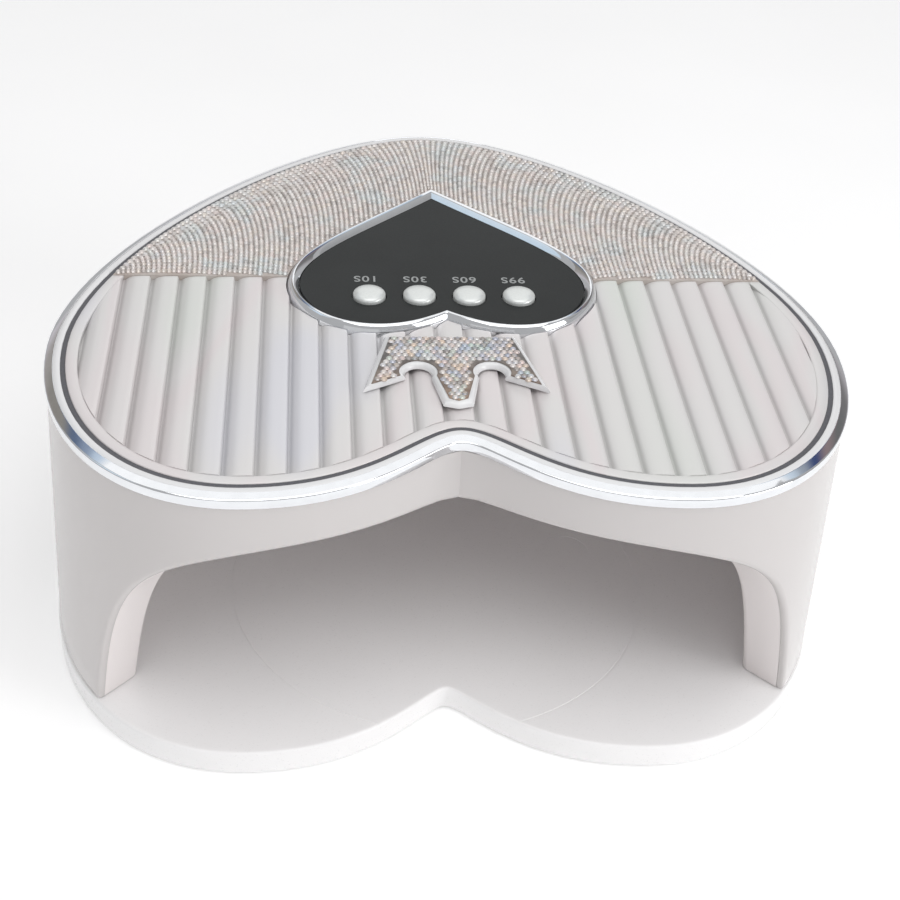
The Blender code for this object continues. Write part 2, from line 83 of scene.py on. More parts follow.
# Heights.
FOOT = 1.2
BASE_TOP = 8.8
WALL_FOOT = 9.1
INLET_Z = 22.0
CEILING = 82.5
HEADS_TOP = 84.5
COVER_FOOT = 92.6
SHELL_TOP = 92.2
TOP = 96.2
FIELD = 94.6
PANEL_TOP = 96.5
BEZEL_TOP = 98.2
CROWN_FOOT = 96.7
CROWN_TOP = 98.5
STONE_TOP = 99.3

# Arched opening: its legs lie on rays from one point, and its height falls off towards the back.
ARCH_CENTRE = 15.0
ARCH_HEIGHT = 76.6
ARCH_FALL = 0.22
ARCH_REF = -80.0
ARCH_START = 0.09

SENSOR = Vector((52.0, -81.5))

# Controls.
PLATE_LINE = 3.0
BEZEL_WIDTH = 4.0
BUTTON_PITCH = 14.9
CROWN_BACK = -33.9
BUTTON_Y = -8.0
BUTTON_NAMES = ("button_10s", "button_30s", "button_60s", "button_99s")
LABELS = ("10S", "30S", "60S", "99S")

HEART_STEPS = 30
PANEL_STEPS = 20
BACK_COLUMNS = 60
ARCH_COLUMNS = 38
WALL_ROWS = 10


def linear(code):
    """Turns an sRGB hex colour into linear red, green and blue."""
    parts = [int(code[i : i + 2], 16) / 255 for i in (0, 2, 4)]
    return tuple(p / 12.92 if p <= 0.04045 else ((p + 0.055) / 1.055) ** 2.4 for p in parts)


def colour_prop(name, description, code):
    """A colour setting with an sRGB hex default."""
    return FloatVectorProperty(
        name=name, description=description, default=linear(code), subtype="COLOR", size=3, min=0, max=1
    )


def length_prop(name, description, millimetres):
    """A length setting with its default in millimetres."""
    return FloatProperty(name=name, description=description, default=millimetres * MM, unit="LENGTH", min=0)


class LampSizes(bpy.types.PropertyGroup):
    """Sizes that change how the lamp is finished without changing its outline."""

    edge_round: length_prop("Edge rounding", "Radius of the moulded edges round the opening", 1.6)
    jamb_round: length_prop("Jamb rounding", "Radius between the jamb and the cavity wall", 2.2)
    rib_pitch: length_prop("Rib pitch", "Width of one pleat", 8.3)
    rib_low: length_prop("Rib valley", "Height of the valleys between pleats", 94.8)
    rib_high: length_prop("Rib crest", "Height of the crests of the pleats", 96.25)
    stone_pitch: length_prop("Stone pitch", "Distance between rows of stones", 1.95)
    crown_pitch: length_prop("Crown stone pitch", "Distance between the stones of the crown", 1.8)
    label_height: length_prop("Label height", "Height of the time numbers", 3.4)
    seed: IntProperty(name="Seed", description="Seed of the stones' tints and tilts", default=7, min=0)


class LampColours(bpy.types.PropertyGroup):
    """Colours of the lamp's finishes."""

    # The shell, liner and base are one white plastic: the shell's colour is set darker as painted shade, and
    # the liner's and the base's lighter as painted light.
    shell: colour_prop("Shell", "White moulded housing", "CDC9C8")
    liner: colour_prop("Liner", "White moulded cavity lining", "EBE5E4")
    ring: colour_prop("Ring", "White ring inside the mirror rim", "E9E9EA")
    base: colour_prop("Base", "White moulded base", "F3F2F2")
    chrome: colour_prop("Chrome", "Mirror plating of the rim and the bezel", "EDEFF2")
    pleat: colour_prop("Pleats", "Pearl silver lacquer of the pleated plate", "DCDAD9")
    stone: colour_prop("Stones", "Body colour of the small stones", "DCD8D5")
    panel: colour_prop("Panel", "Black control panel", "1F2222")
    button: colour_prop("Buttons", "Satin plating of the push buttons", "DFE2E0")
    label: colour_prop("Labels", "Ink of the time numbers", "9DA0A0")
    clear: colour_prop("Crown base", "Clear plastic under the crown", "FBFBFC")


def sizes():
    """The scene's size settings."""
    return bpy.context.scene.lamp_sizes


def colours():
    """The scene's colour settings."""
    return bpy.context.scene.lamp_colours


# Outlines


def bezier(a, b, c, d, t):
    """A point on a cubic Bezier segment."""
    u = 1 - t
    return u**3 * a + 3 * u * u * t * b + 3 * u * t * t * c + t**3 * d


def heart_segments(offset):
    """The heart's three Bezier segments on the right, grown outward by offset."""
    tip = TIP + Vector((0, offset))
    side = SIDE + Vector((offset, 0))
    lobe = LOBE - Vector((0, offset))
    notch = NOTCH - Vector((0, offset))
    back = (tip, tip + Vector((38 + 0.58 * offset, 0)), side + Vector((0, 55 + 0.55 * offset)), side)
    flank = (side, side - Vector((0, 38 + 0.55 * offset)), lobe + Vector((29 + 0.58 * offset, 0)), lobe)
    front = (lobe, lobe - Vector((35 + 0.27 * offset, 0)), notch + Vector((11.5 - 0.6 * offset, 0)), notch)
    return back, flank, front


def on_heart(offset, way):
    """A point on the right half of the heart: way runs from 0 at the back tip to 3 at the notch."""
    segment = min(int(way), 2)
    return bezier(*heart_segments(offset)[segment], way - segment)


def mirrored(half):
    """Closes a right half that starts and ends on the middle plane with its mirror image."""
    return half + [Vector((-p.x, *p[1:])) for p in reversed(half[1:-1])]


def heart(offset):
    """The heart outline, grown outward by offset."""
    return mirrored([on_heart(offset, i / HEART_STEPS) for i in range(3 * HEART_STEPS + 1)])


def panel_heart(offset):
    """The control panel's heart: straight back edges to a sharp tip, and a sharp notch in front."""
    tip = Vector((0, 54.3 + 1.41 * offset))
    side = Vector((42.9 + offset, -1.0))
    lobe = Vector((20.5, -23.9 - offset))
    notch = Vector((0, -15.8 - 1.2 * offset))
    segments = (
        (tip, tip + Vector((25, -25.5)), side + Vector((0, 17 + 0.3 * offset)), side),
        (side, side - Vector((0, 12 + 0.55 * offset)), lobe + Vector((12.5 + 0.55 * offset, 0)), lobe),
        (lobe, lobe - Vector((8.5, 0)), notch + Vector((5, -3.7)), notch),
    )
    half = [bezier(*s, i / PANEL_STEPS) for s in segments for i in range(PANEL_STEPS)]
    return mirrored(half + [notch])


def crown_outline(grow):
    """The crown, upside down to the hands: straight back, two side tips, two scoops, one centre tip."""
    centre, radius = Vector((10.2, -51.3)), 5.3 - grow
    angles = [math.radians(-20 + 220 * i / 24) for i in range(25)]
    back = CROWN_BACK + grow
    half = [Vector((0, back)), Vector((17.4 + grow, back)), Vector((23.3 + 1.5 * grow, -57.4 - grow))]
    half += [centre + radius * Vector((math.cos(a), math.sin(a))) for a in angles]
    half += [Vector((2.6 + grow, -64.0 - grow)), Vector((0, -65.2 - grow))]
    return mirrored(half)


def level(outline, z):
    """A flat outline raised to z."""
    return [Vector((p.x, p.y, z)) for p in outline]


def inside(point, outline):
    """True where the point lies inside the closed outline."""
    found = False
    for a, b in zip(outline, outline[1:] + outline[:1]):
        if (a.y > point.y) != (b.y > point.y):
            if point.x < (b.x - a.x) * (point.y - a.y) / (b.y - a.y) + a.x:
                found = not found
    return found


def shell_offset(z):
    """How far the leaning outer wall stands outside the heart outline at a height."""
    return SHELL_FOOT + (z - WALL_FOOT) / (SHELL_TOP - WALL_FOOT) * (SHELL_HEAD - SHELL_FOOT)


def inset_wall(depth):
    """The outer wall's surface moved inward by depth."""
    return lambda z: shell_offset(z) - depth


def cavity_offset(z):
    """How far the leaning cavity wall stands outside the heart outline at a height."""
    return CAVITY_FOOT + (z - WALL_FOOT) / (CEILING - WALL_FOOT) * (CAVITY_HEAD - CAVITY_FOOT)


def arc(radius, steps):
    """Quarter circle as (leave one side, reach the other), from (radius, 0) to (0, radius)."""
    turns = [math.pi / 2 * i / steps for i in range(steps + 1)]
    return [(radius * (1 - math.sin(a)), radius * (1 - math.cos(a))) for a in turns]


# Mesh helpers


def start_loop(bm, places):
    """Starts a shape with one closed loop of edges."""
    loop = [bm.verts.new(p) for p in places]
    for pair in zip(loop, loop[1:] + loop[:1]):
        bm.edges.new(pair)
    return loop


def grow_loop(bm, loop, places):
    """Extrudes a closed loop and moves its new points to the places, which are in the same order."""
    edges = [bm.edges.get(pair) for pair in zip(loop, loop[1:] + loop[:1])]
    made = bmesh.ops.extrude_edge_only(bm, edges=edges)["geom"]
    fresh = {item for item in made if isinstance(item, bmesh.types.BMVert)}
    twins = [next(e.other_vert(v) for e in v.link_edges if e.other_vert(v) in fresh) for v in loop]
    for twin, place in zip(twins, places):
        twin.co = place
    return twins


def cap_loop(bm, loop):
    """Fills a closed loop with one face."""
    bmesh.ops.edgeloop_fill(bm, edges=[bm.edges.get(pair) for pair in zip(loop, loop[1:] + loop[:1])])


def sweep(rings, closed=False, open_start=False):
    """A shape through rings of points: a closed ring-shaped section, or capped at its ends."""
    bm = bmesh.new()
    loop = first = start_loop(bm, rings[0])
    for ring in rings[1:]:
        loop = grow_loop(bm, loop, ring)
    if closed:
        grow_loop(bm, loop, rings[0])
        bmesh.ops.remove_doubles(bm, verts=bm.verts, dist=0.0005)
    else:
        cap_loop(bm, loop)
        if not open_start:
            cap_loop(bm, first)
    bmesh.ops.recalc_face_normals(bm, faces=bm.faces)
    return bm


def stacked(section, outline=heart, closed=False):
    """A shape through an outline at each (offset, height) of a section."""
    return sweep([level(outline(offset), z) for offset, z in section], closed)


def punch(outline):
    """A tall block of an outline's shape that cuts the plates of the top."""
    return sweep([level(outline, FIELD - 1), level(outline, TOP + 4)])


def turned(profile, xy, steps=40, axis="Z"):
    """A solid spun from a profile of (radius, along) that starts and ends on its axis."""
    bm = bmesh.new()
    points = [bm.verts.new((r, 0, z)) for r, z in profile]
    edges = [bm.edges.new(pair) for pair in zip(points, points[1:])]
    bmesh.ops.spin(
        bm, geom=points + edges, cent=(0, 0, 0), axis=(0, 0, 1), angle=math.tau, steps=steps, use_merge=True
    )
    bmesh.ops.remove_doubles(bm, verts=bm.verts, dist=0.0005)
    if axis == "Y":
        bmesh.ops.rotate(bm, verts=bm.verts, cent=(0, 0, 0), matrix=Matrix.Rotation(-math.pi / 2, 3, "X"))
    bmesh.ops.translate(bm, verts=bm.verts, vec=(*xy, 0)[:3])
    bmesh.ops.recalc_face_normals(bm, faces=bm.faces)
    return bm


def rod(radius, low, high, xy, sides=40):
    """An upright cylinder."""
    bm = bmesh.new()
    place = Matrix.Translation((*xy, (low + high) / 2))
    bmesh.ops.create_cone(
        bm, cap_ends=True, segments=sides, radius1=radius, radius2=radius, depth=high - low, matrix=place
    )
    return bm


def merged(parts):
    """Puts several meshes together in one and frees them."""
    whole = bmesh.new()
    for part in parts:
        mesh = bpy.data.meshes.new("part")
        part.to_mesh(mesh)
        part.free()
        whole.from_mesh(mesh)
        bpy.data.meshes.remove(mesh)
    return whole


def as_object(bm, name):
    """Turns a mesh into a named object of the scene and frees the mesh."""
    mesh = bpy.data.meshes.new(name)
    bm.to_mesh(mesh)
    bm.free()
    obj = bpy.data.objects.new(name, mesh)
    bpy.context.scene.collection.objects.link(obj)
    return obj


def with_modifier(parts, kind, settings):
    """The first of one or two closed meshes with a modifier applied; the second is the modifier's object."""
    made = [as_object(bm, "modified") for bm in parts]
    modifier = made[0].modifiers.new("step", kind)
    for key, value in settings.items():
        setattr(modifier, key, value)
    if len(made) > 1:
        modifier.object = made[1]
    evaluated = made[0].evaluated_get(bpy.context.evaluated_depsgraph_get())
    result = bmesh.new()
    result.from_mesh(evaluated.to_mesh())
    evaluated.to_mesh_clear()
    for obj in made:
        mesh = obj.data
        bpy.data.objects.remove(obj)
        bpy.data.meshes.remove(mesh)
    if not result.faces:
        raise RuntimeError("a step left nothing")
    return result


def carve(body, tool, operation="DIFFERENCE"):
    """Cuts one closed mesh with another and gives the result as a new mesh."""
    return with_modifier((body, tool), "BOOLEAN", {"operation": operation, "solver": "EXACT"})


def finish_piece(bm, name, material, nodes=(), body="housing", sharp=32.0):
    """Makes a piece of a mesh in millimetres: shades it, gives it its finish, parents it to its body and
    hides the frame parts it stands in for.
    """
    limit = math.radians(sharp)
    for face in bm.faces:
        face.smooth = True
    for edge in bm.edges:
        edge.smooth = len(edge.link_faces) == 2 and edge.calc_face_angle(0) < limit
    bmesh.ops.scale(bm, vec=(MM, MM, MM), verts=bm.verts)
    obj = as_object(bm, name)
    obj.data.materials.append(finish(material))
    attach(obj, body)
    if nodes:
        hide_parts(*nodes)


# Walls that end in the arched opening


def arch_at(t):
    """The arch's unit outline: across from 1 at the foot to 0 at the middle, and up from 0 to 1."""
    u = 1 - t
    across = u**3 + 2.7 * u * u * t + 2.16 * u * t * t
    up = 2.37 * u * u * t + 3 * u * t * t + t**3
    return across, up


def arch_height(y, grow):
    """Height of the arch's middle at a depth."""
    return ARCH_HEIGHT - ARCH_FALL * (y - ARCH_REF) + grow


def turning_point(low, high, below):
    """The value between low and high where below stops being true."""
    for _ in range(26):
        middle = (low + high) / 2
        if below(middle):
            low = middle
        else:
            high = middle
    return (low + high) / 2


def meet(offset, grow, across):
    """Where a leg's ray meets the front of the heart outline, as a way along it."""

    def outside_ray(way):
        p = on_heart(offset, way)
        return p.x > across * (ARCH_CENTRE + grow - p.y)

    return 3.0 if across < 1e-6 else turning_point(1.0, 3.0, outside_ray)


def crossing(t, grow, surface):
    """Where the arch at t meets a wall surface: (way, z)."""
    across, up = arch_at(t)
    z = 60.0
    for _ in range(6):
        offset = surface(z)
        way = meet(offset, grow, across)
        z = up * arch_height(on_heart(offset, way).y, grow)
    return way, z


def foot_crossing(z, grow, surface):
    """Where the arch's leg meets a wall surface at the height z, as a way."""
    offset, height = surface(z), ARCH_HEIGHT
    for _ in range(6):
        across, _ = arch_at(turning_point(0.0, 0.5, lambda t: arch_at(t)[1] * height < z))
        way = meet(offset, grow, across)
        height = arch_height(on_heart(offset, way).y, grow)
    return way


def wall_ring(grow, foot, surface):
    """Half a wall's lower ring, as (way, z): round the back to the arch's foot, then up and over the arch."""
    corner = foot_crossing(foot, grow, surface)
    back = [(corner * i / BACK_COLUMNS, foot) for i in range(BACK_COLUMNS + 1)]
    shares = [ARCH_START + (1 - ARCH_START) * i / ARCH_COLUMNS for i in range(ARCH_COLUMNS + 1)]
    return back + [crossing(share, grow, surface) for share in shares]


def wall_points(ring, surface, top=None, share=0.0):
    """A ring's points on a surface, each lifted by a share of its way to the top."""
    half = []
    for way, z in ring:
        height = z if top is None else z + (top - z) * share
        p = on_heart(surface(height), way)
        half.append(Vector((p.x, p.y, height)))
    half[0].x = half[-1].x = 0
    return mirrored(half)


# Materials

RAMP, RANGE, BUMP, MIX = "ShaderNodeValToRGB", "ShaderNodeMapRange", "ShaderNodeBump", "ShaderNodeMix"


def node(tree, kind, inputs, stops=(), **settings):
    """Adds a node; an input takes a value, a socket or another node's first output."""
    made = tree.nodes.new(kind)
    for key, value in settings.items():
        setattr(made, key, value)
    for key, value in inputs.items():
        if isinstance(value, bpy.types.Node):
            value = value.outputs[0]
        if isinstance(value, bpy.types.NodeSocket):
            tree.links.new(value, made.inputs[key])
        else:
            made.inputs[key].default_value = value
    if stops:
        made.color_ramp.interpolation = "EASE"
        elements = made.color_ramp.elements
        while len(elements) < len(stops):
            elements.new(0.5)
        for element, (position, colour) in zip(elements, stops):
            element.position, element.color = position, (*colour, 1)
    return made


def new_material(name):
    """An empty node material, its tree and its object coordinates in metres."""
    found = bpy.data.materials.new(name)
    found.use_nodes = True
    tree = found.node_tree
    tree.nodes.clear()
    return found, tree, node(tree, "ShaderNodeTexCoord", {}).outputs["Object"]


def close_material(tree, inputs):
    """Ends a material with a Principled shader and its output."""
    shader = node(tree, "ShaderNodeBsdfPrincipled", inputs)
    node(tree, "ShaderNodeOutputMaterial", {"Surface": shader})


def grain(tree, place, size, detail=2.0, stretch=(1, 1, 1)):
    """Noise whose features are size millimetres wide."""
    mapped = node(tree, "ShaderNodeMapping", {"Vector": place, "Scale": stretch})
    return node(tree, "ShaderNodeTexNoise", {"Vector": mapped, "Scale": 1 / (size * MM), "Detail": detail})


def scaled(colour, factor):
    """A colour made lighter or darker."""
    return tuple(min(1.0, c * factor) for c in colour[:3])


def spread(value, low, high):
    """Inputs that stretch a noise factor over a range."""
    return {"Value": value, "From Min": 0.2, "From Max": 0.8, "To Min": low, "To Max": high}


def relief(height, strength, distance):
    """Inputs of a bump whose full height is distance millimetres."""
    return {"Height": height, "Strength": strength, "Distance": distance * MM}


def along(tree, place, axis, low, high, start=0.0, **settings):
    """A value that grows from start to 1 between two places on an axis, in millimetres."""
    reach = node(tree, "ShaderNodeSeparateXYZ", {"Vector": place}).outputs[axis]
    ends = {"Value": reach, "From Min": low * MM, "From Max": high * MM, "To Min": start, "To Max": 1.0}
    return node(tree, RANGE, ends, **settings)


def tones(*pairs):
    """Ramp stops from pairs of a position and an sRGB hex colour."""
    return [(position, linear(code)) for position, code in pairs]


def coat(name, stops, patch, rough, fine=None, bump=None, fixed=None):
    """A finish whose tone drifts with one grain, and whose gloss and relief follow a finer one.

    A grain is its size in millimetres and its detail; rough is one value or a range over the fine grain.
    """
    made, tree, place = new_material(name)
    drift = grain(tree, place, *patch)
    detail = grain(tree, place, *fine) if fine else drift
    inputs = {"Base Color": node(tree, RAMP, {"Fac": drift}, stops), "Roughness": rough}
    if isinstance(rough, tuple):
        inputs["Roughness"] = node(tree, RANGE, spread(detail, *rough))
    if bump:
        inputs["Normal"] = node(tree, BUMP, relief(detail, *bump))
    close_material(tree, inputs | (fixed or {}))
    return made


def moulded_abs(name, colour, gloss=0.22):
    """Injection-moulded white ABS: glossy with a soft, slightly uneven sheen from the polished tool."""
    stops = [(0.1, scaled(colour, 0.985)), (0.9, colour)]
    return coat(name, stops, (40.0,), (gloss - 0.02, gloss + 0.04), (0.5,), (0.04, 0.02), {"IOR": 1.52})


def chrome_plate(name, colour, rough=0.05):
    """Vacuum-plated mirror chrome on plastic: nearly a mirror, with a faint waviness from the moulding."""
    made, tree, place = new_material(name)
    haze = grain(tree, place, 4.0, 3.0)
    inputs = {"Base Color": node(tree, RAMP, {"Fac": haze}, [(0.3, scaled(colour, 0.96)), (0.7, colour)])}
    inputs["Metallic"] = 1.0
    inputs["Roughness"] = node(tree, RANGE, spread(haze, rough, rough + 0.03))
    inputs["Normal"] = node(tree, BUMP, relief(grain(tree, place, 18.0, 1.0), 0.15, 0.05))
    close_material(tree, inputs)
    return made


def pearl_lacquer(name, colour):
    """Pearl silver lacquer: soft white with faint pink, green and lilac drifts, and painted shade that
    darkens it low in the valleys between the pleats.
    """
    made, tree, place = new_material(name)
    drift = grain(tree, place, 30.0, 1.0, (1.0, 0.25, 1.0))
    flake = grain(tree, place, 3.0, 1.0)
    stops = [*tones((0.3, "D7DAD5")), (0.45, colour), *tones((0.52, "DDD7D7")), (0.58, colour)]
    stops += tones((0.7, "D8D8DD"))
    tint = node(tree, RAMP, {"Fac": drift}, stops)
    # Painted shade: below 95.7 mm the colour darkens, down to 0.74 of it at 94.9 mm in the valleys.
    depth = along(tree, place, "Z", 94.9, 95.7, 0.74, interpolation_type="SMOOTHSTEP")
    inputs = {"Base Color": node(tree, "ShaderNodeVectorMath", {0: tint, "Scale": depth}, operation="SCALE")}
    inputs["Metallic"] = 0.15
    inputs["Roughness"] = node(tree, RANGE, spread(flake, 0.32, 0.36))
    inputs["IOR"] = 1.5
    close_material(tree, inputs)
    return made


def cut_stone(name, colour, depth):
    """Foil-backed cut glass stones: foil tints that change from stone to stone, and painted glints that make
    some facets lighter and some darker.
    """
    made, tree, place = new_material(name)
    # Per-face colours: the foil tint of each stone, with painted glints as lighter and darker facets.
    tint = node(tree, "ShaderNodeAttribute", {}, attribute_name="tint_and_glint")
    cloud = grain(tree, place, 14.0, 2.0)
    stops = [(0.35, colour), *tones((0.5, "D9D3D0"), (0.65, "D4D7D7"))]
    warm = node(tree, RAMP, {"Fac": cloud}, stops)
    mixed = node(tree, MIX, {0: depth, 6: warm, 7: tint}, data_type="RGBA", blend_type="MULTIPLY")
    inputs = {"Base Color": mixed.outputs[2], "Metallic": 0.3, "IOR": 1.56}
    inputs["Roughness"] = node(tree, RANGE, spread(cloud, 0.2, 0.28))
    close_material(tree, inputs)
    return made


def stone_backing(name):
    """Glue-coated sheet that shows as fine grey-brown lines between the stones."""
    return coat(name, tones((0.3, "B5AAA3"), (0.7, "C6BFBA")), (6.0, 3.0), 0.5)


def tray_edge(name):
    """Edge of the crown's stone tray: warm copper at the front, turning dark grey towards the back with
    painted shade.
    """
    made, tree, place = new_material(name)
    worn = grain(tree, place, 3.0, 2.0)
    # Painted shade: the back of the edge is made darker than the front.
    shaded_back = node(tree, RAMP, {"Fac": worn}, tones((0.3, "5E5B5A"), (0.7, "7B7774")))
    near = node(tree, RAMP, {"Fac": worn}, tones((0.3, "8A7566"), (0.7, "A58F7E")))
    mixed = node(tree, MIX, {0: along(tree, place, "Y", -66, -44), 6: near, 7: shaded_back}, data_type="RGBA")
    close_material(tree, {"Base Color": mixed.outputs[2], "Metallic": 0.5, "Roughness": 0.3})
    return made


def satin_panel(name, colour):
    """Silk-printed black acrylic: dark satin with a very fine texture that greys it in the light."""
    stops = [(0.35, scaled(colour, 0.92)), (0.65, scaled(colour, 1.1))]
    fixed = {"IOR": 1.49, "Specular IOR Level": 0.3}
    return coat(name, stops, (22.0,), (0.5, 0.6), (0.4,), (0.1, 0.02), fixed)


def satin_cap(name, colour):
    """Satin plated button cap: pale metal with a soft wide highlight."""
    stops = [(0.3, scaled(colour, 0.95)), (0.7, colour)]
    fixed = {"Metallic": 0.35, "IOR": 1.5}
    return coat(name, stops, (0.6,), (0.28, 0.36), bump=(0.04, 0.02), fixed=fixed)


def label_ink(name, colour):
    """Screen-printed ink: matt pale grey with slightly uneven cover."""
    return coat(name, [(0.3, scaled(colour, 0.85)), (0.65, colour)], (0.5, 3.0), 0.6)


def clear_styrene(name, colour):
    """Clear polished plastic under the crown: light passes in and comes back silvery."""
    stops = [(0.3, scaled(colour, 0.93)), (0.7, colour)]
    return coat(name, stops, (5.0,), (0.05, 0.1), fixed={"Transmission Weight": 0.15, "IOR": 1.52})


def plain_plastic(name, code, rough):
    """Dark moulded plastic or rubber with a fine tooled texture, also used as painted shade in the rim's
    groove.
    """
    stops = [(0.3, scaled(linear(code), 0.85)), (0.7, scaled(linear(code), 1.15))]
    return coat(name, stops, (0.6, 3.0), (rough - 0.05, rough + 0.08), bump=(0.15, 0.05))


def zinc_steel(name):
    """Zinc-plated screw steel: grey metal with faint blue and yellow patches."""
    stops = tones((0.3, "A9AEB4"), (0.55, "C4C3BE"), (0.7, "B8B4A4"))
    return coat(name, stops, (1.5, 3.0), (0.28, 0.42), fixed={"Metallic": 1.0})


def solder_mask(name):
    """Circuit board: green solder mask over copper tracks, and pale silicone lamp heads under it."""
    made, tree, place = new_material(name)
    colours_of = {"Color1": "1E6B3C", "Color2": "1A6236", "Mortar": "2F8450"}
    inputs = {key: (*linear(code), 1) for key, code in colours_of.items()}
    inputs.update({"Vector": place, "Scale": 1 / (6.0 * MM), "Mortar Size": 0.06})
    track = node(tree, "ShaderNodeTexBrick", inputs)
    height = node(tree, "ShaderNodeSeparateXYZ", {"Vector": place}).outputs["Z"]
    low = node(tree, "ShaderNodeMath", {0: height, 1: HEADS_TOP * MM}, operation="LESS_THAN")
    tone = node(tree, MIX, {0: low, 6: track, 7: (*linear("D9D3EC"), 1)}, data_type="RGBA").outputs[2]
    rough = node(tree, RANGE, spread(grain(tree, place, 2.0), 0.3, 0.45))
    close_material(tree, {"Base Color": tone, "Roughness": rough})
    return made


def lamp_lens(name):
    """Clear lens of a UV lamp head: pale lilac, milky in patches."""
    fixed = {"IOR": 1.46, "Transmission Weight": 0.3}
    return coat(name, tones((0.35, "C9C0E6"), (0.65, "EDEAF6")), (1.6, 1.0), 0.08, fixed=fixed)


def studio_floor(name):
    """Seamless white paper, lit from behind a little: bright, matt and very slightly mottled."""
    fixed = {"Specular IOR Level": 0.1, "Emission Color": (1, 1, 1, 1), "Emission Strength": 0.18}
    return coat(name, tones((0.3, "FAFAFA"), (0.7, "FCFCFC")), (120.0,), 0.9, fixed=fixed)


def card_finish(name, codes, light, foot, head):
    """A studio card that only shows in reflections, graded evenly from its foot to its head."""
    made, tree, place = new_material(name)
    stops = tones(*((i / (len(codes) - 1), code) for i, code in enumerate(codes)))
    tone = node(tree, RAMP, {"Fac": along(tree, place, "Z", foot / MM, head / MM)}, stops)
    glow = node(tree, "ShaderNodeEmission", {"Color": tone, "Strength": light})
    node(tree, "ShaderNodeOutputMaterial", {"Surface": glow})
    return made


def finish(name):
    """A shared finish of the lamp, made once."""
    own = colours()
    makers = {
        "moulded_white_shell": (moulded_abs, own.shell),
        "moulded_white_liner": (moulded_abs, own.liner, 0.3),
        "moulded_white_base": (moulded_abs, own.base, 0.28),
        "polished_white_ring": (moulded_abs, own.ring, 0.12),
        "mirror_chrome_plate": (chrome_plate, own.chrome),
        "pearl_silver_lacquer": (pearl_lacquer, own.pleat),
        "foil_backed_stones": (cut_stone, own.stone, 0.5),
        "crown_stones": (cut_stone, own.stone, 0.75),
        "stone_backing_sheet": (stone_backing,),
        "crown_tray_edge": (tray_edge,),
        "satin_black_acrylic": (satin_panel, own.panel),
        "satin_button_plate": (satin_cap, own.button),
        "printed_grey_ink": (label_ink, own.label),
        "clear_polished_styrene": (clear_styrene, own.clear),
        # Painted shade: a dark strip that stands for the shadow in the rim's groove.
        "dark_groove_lining": (plain_plastic, "55555A", 0.6),
        "black_moulded_nylon": (plain_plastic, "1B1B1C", 0.5),
        "soft_black_rubber": (plain_plastic, "17171A", 0.8),
        "zinc_plated_steel": (zinc_steel,),
        "green_circuit_board": (solder_mask,),
        "lilac_lamp_lens": (lamp_lens,),
    }
    maker, *settings = makers[name]
    return bpy.data.materials.get(name) or maker(name, *settings)


# Places


def base_screw_places():
    """Four places between the two walls."""
    return [mirror_to(on_heart(-0.9, way), side) for way in (0.45, 1.1) for side in (-1, 1)]


def foot_places():
    """Four rubber feet."""
    return [mirror_to(on_heart(-12.0, way), side) for way in (0.4, 1.85) for side in (-1, 1)]


def mirror_to(p, side):
    """A plan point on the right (+1) or left (-1) side."""
    return Vector((side * p.x, p.y))


def bead_places(side):
    """Lamp heads on one side: an outer row along the wall and an inner row."""
    places = [on_heart(-33.0, way) for way in (0.35, 0.6, 0.8, 1.0, 1.4, 1.8)]
    places += [on_heart(-62.0, 0.55), on_heart(-62.0, 0.95), on_heart(-58.0, 1.6)]
    return [mirror_to(p, side) for p in places]


def button_places():
    """Each button's name and x, from -X to +X."""
    return [(name, (i - 1.5) * BUTTON_PITCH) for i, name in enumerate(BUTTON_NAMES)]


# Operators


class LAMP_OT_base(bpy.types.Operator):
    """Base plate with a rounded top edge, the floor's seam and marks, and its underside recesses"""

    bl_idname = "nail_lamp.base"
    bl_label = "Base plate"

    def execute(self, context):
        edge = 0.9
        section = [(BASE_EDGE - 2.0, FOOT), (BASE_EDGE - 0.3, FOOT), (BASE_EDGE - 0.09, FOOT + 0.09)]
        section += [(BASE_EDGE, FOOT + 0.3)]
        section += [(BASE_EDGE - out, BASE_TOP - down) for down, out in arc(edge, 5)]
        section += [(BASE_EDGE - 2.0, BASE_TOP)]
        base = stacked(section)
        seam_r, seam_w, seam_d, seam_y = 64.0, 0.6, 0.15, -36.5
        turns = [math.tau * i / 160 for i in range(160)]
        inner, outer = seam_r - seam_w / 2, seam_r + seam_w / 2
        low, high = BASE_TOP - seam_d, BASE_TOP + 1
        seam = [(inner, low), (outer, low), (outer, high), (inner, high)]
        rings = [[Vector((r * math.cos(a), seam_y + r * math.sin(a), z)) for a in turns] for r, z in seam]
        base = carve(base, sweep(rings, closed=True))
        mark_r, mark_x, mark_y = 8.5, 42.5, -22.5
        tools = [rod(mark_r, low, high, (side * mark_x, mark_y), 64) for side in (-1, 1)]
        screw_r, screw_depth, foot_r, foot_depth = 3.3, 2.6, 6.5, 1.1
        tools += [rod(screw_r, FOOT - 1, FOOT + screw_depth, xy) for xy in base_screw_places()]
        tools += [rod(foot_r, FOOT - 1, FOOT + foot_depth, xy) for xy in foot_places()]
        base = carve(base, merged(tools))
        finish_piece(base, "base_plate_skin", "moulded_white_base", ["base_plate"])
        return {"FINISHED"}


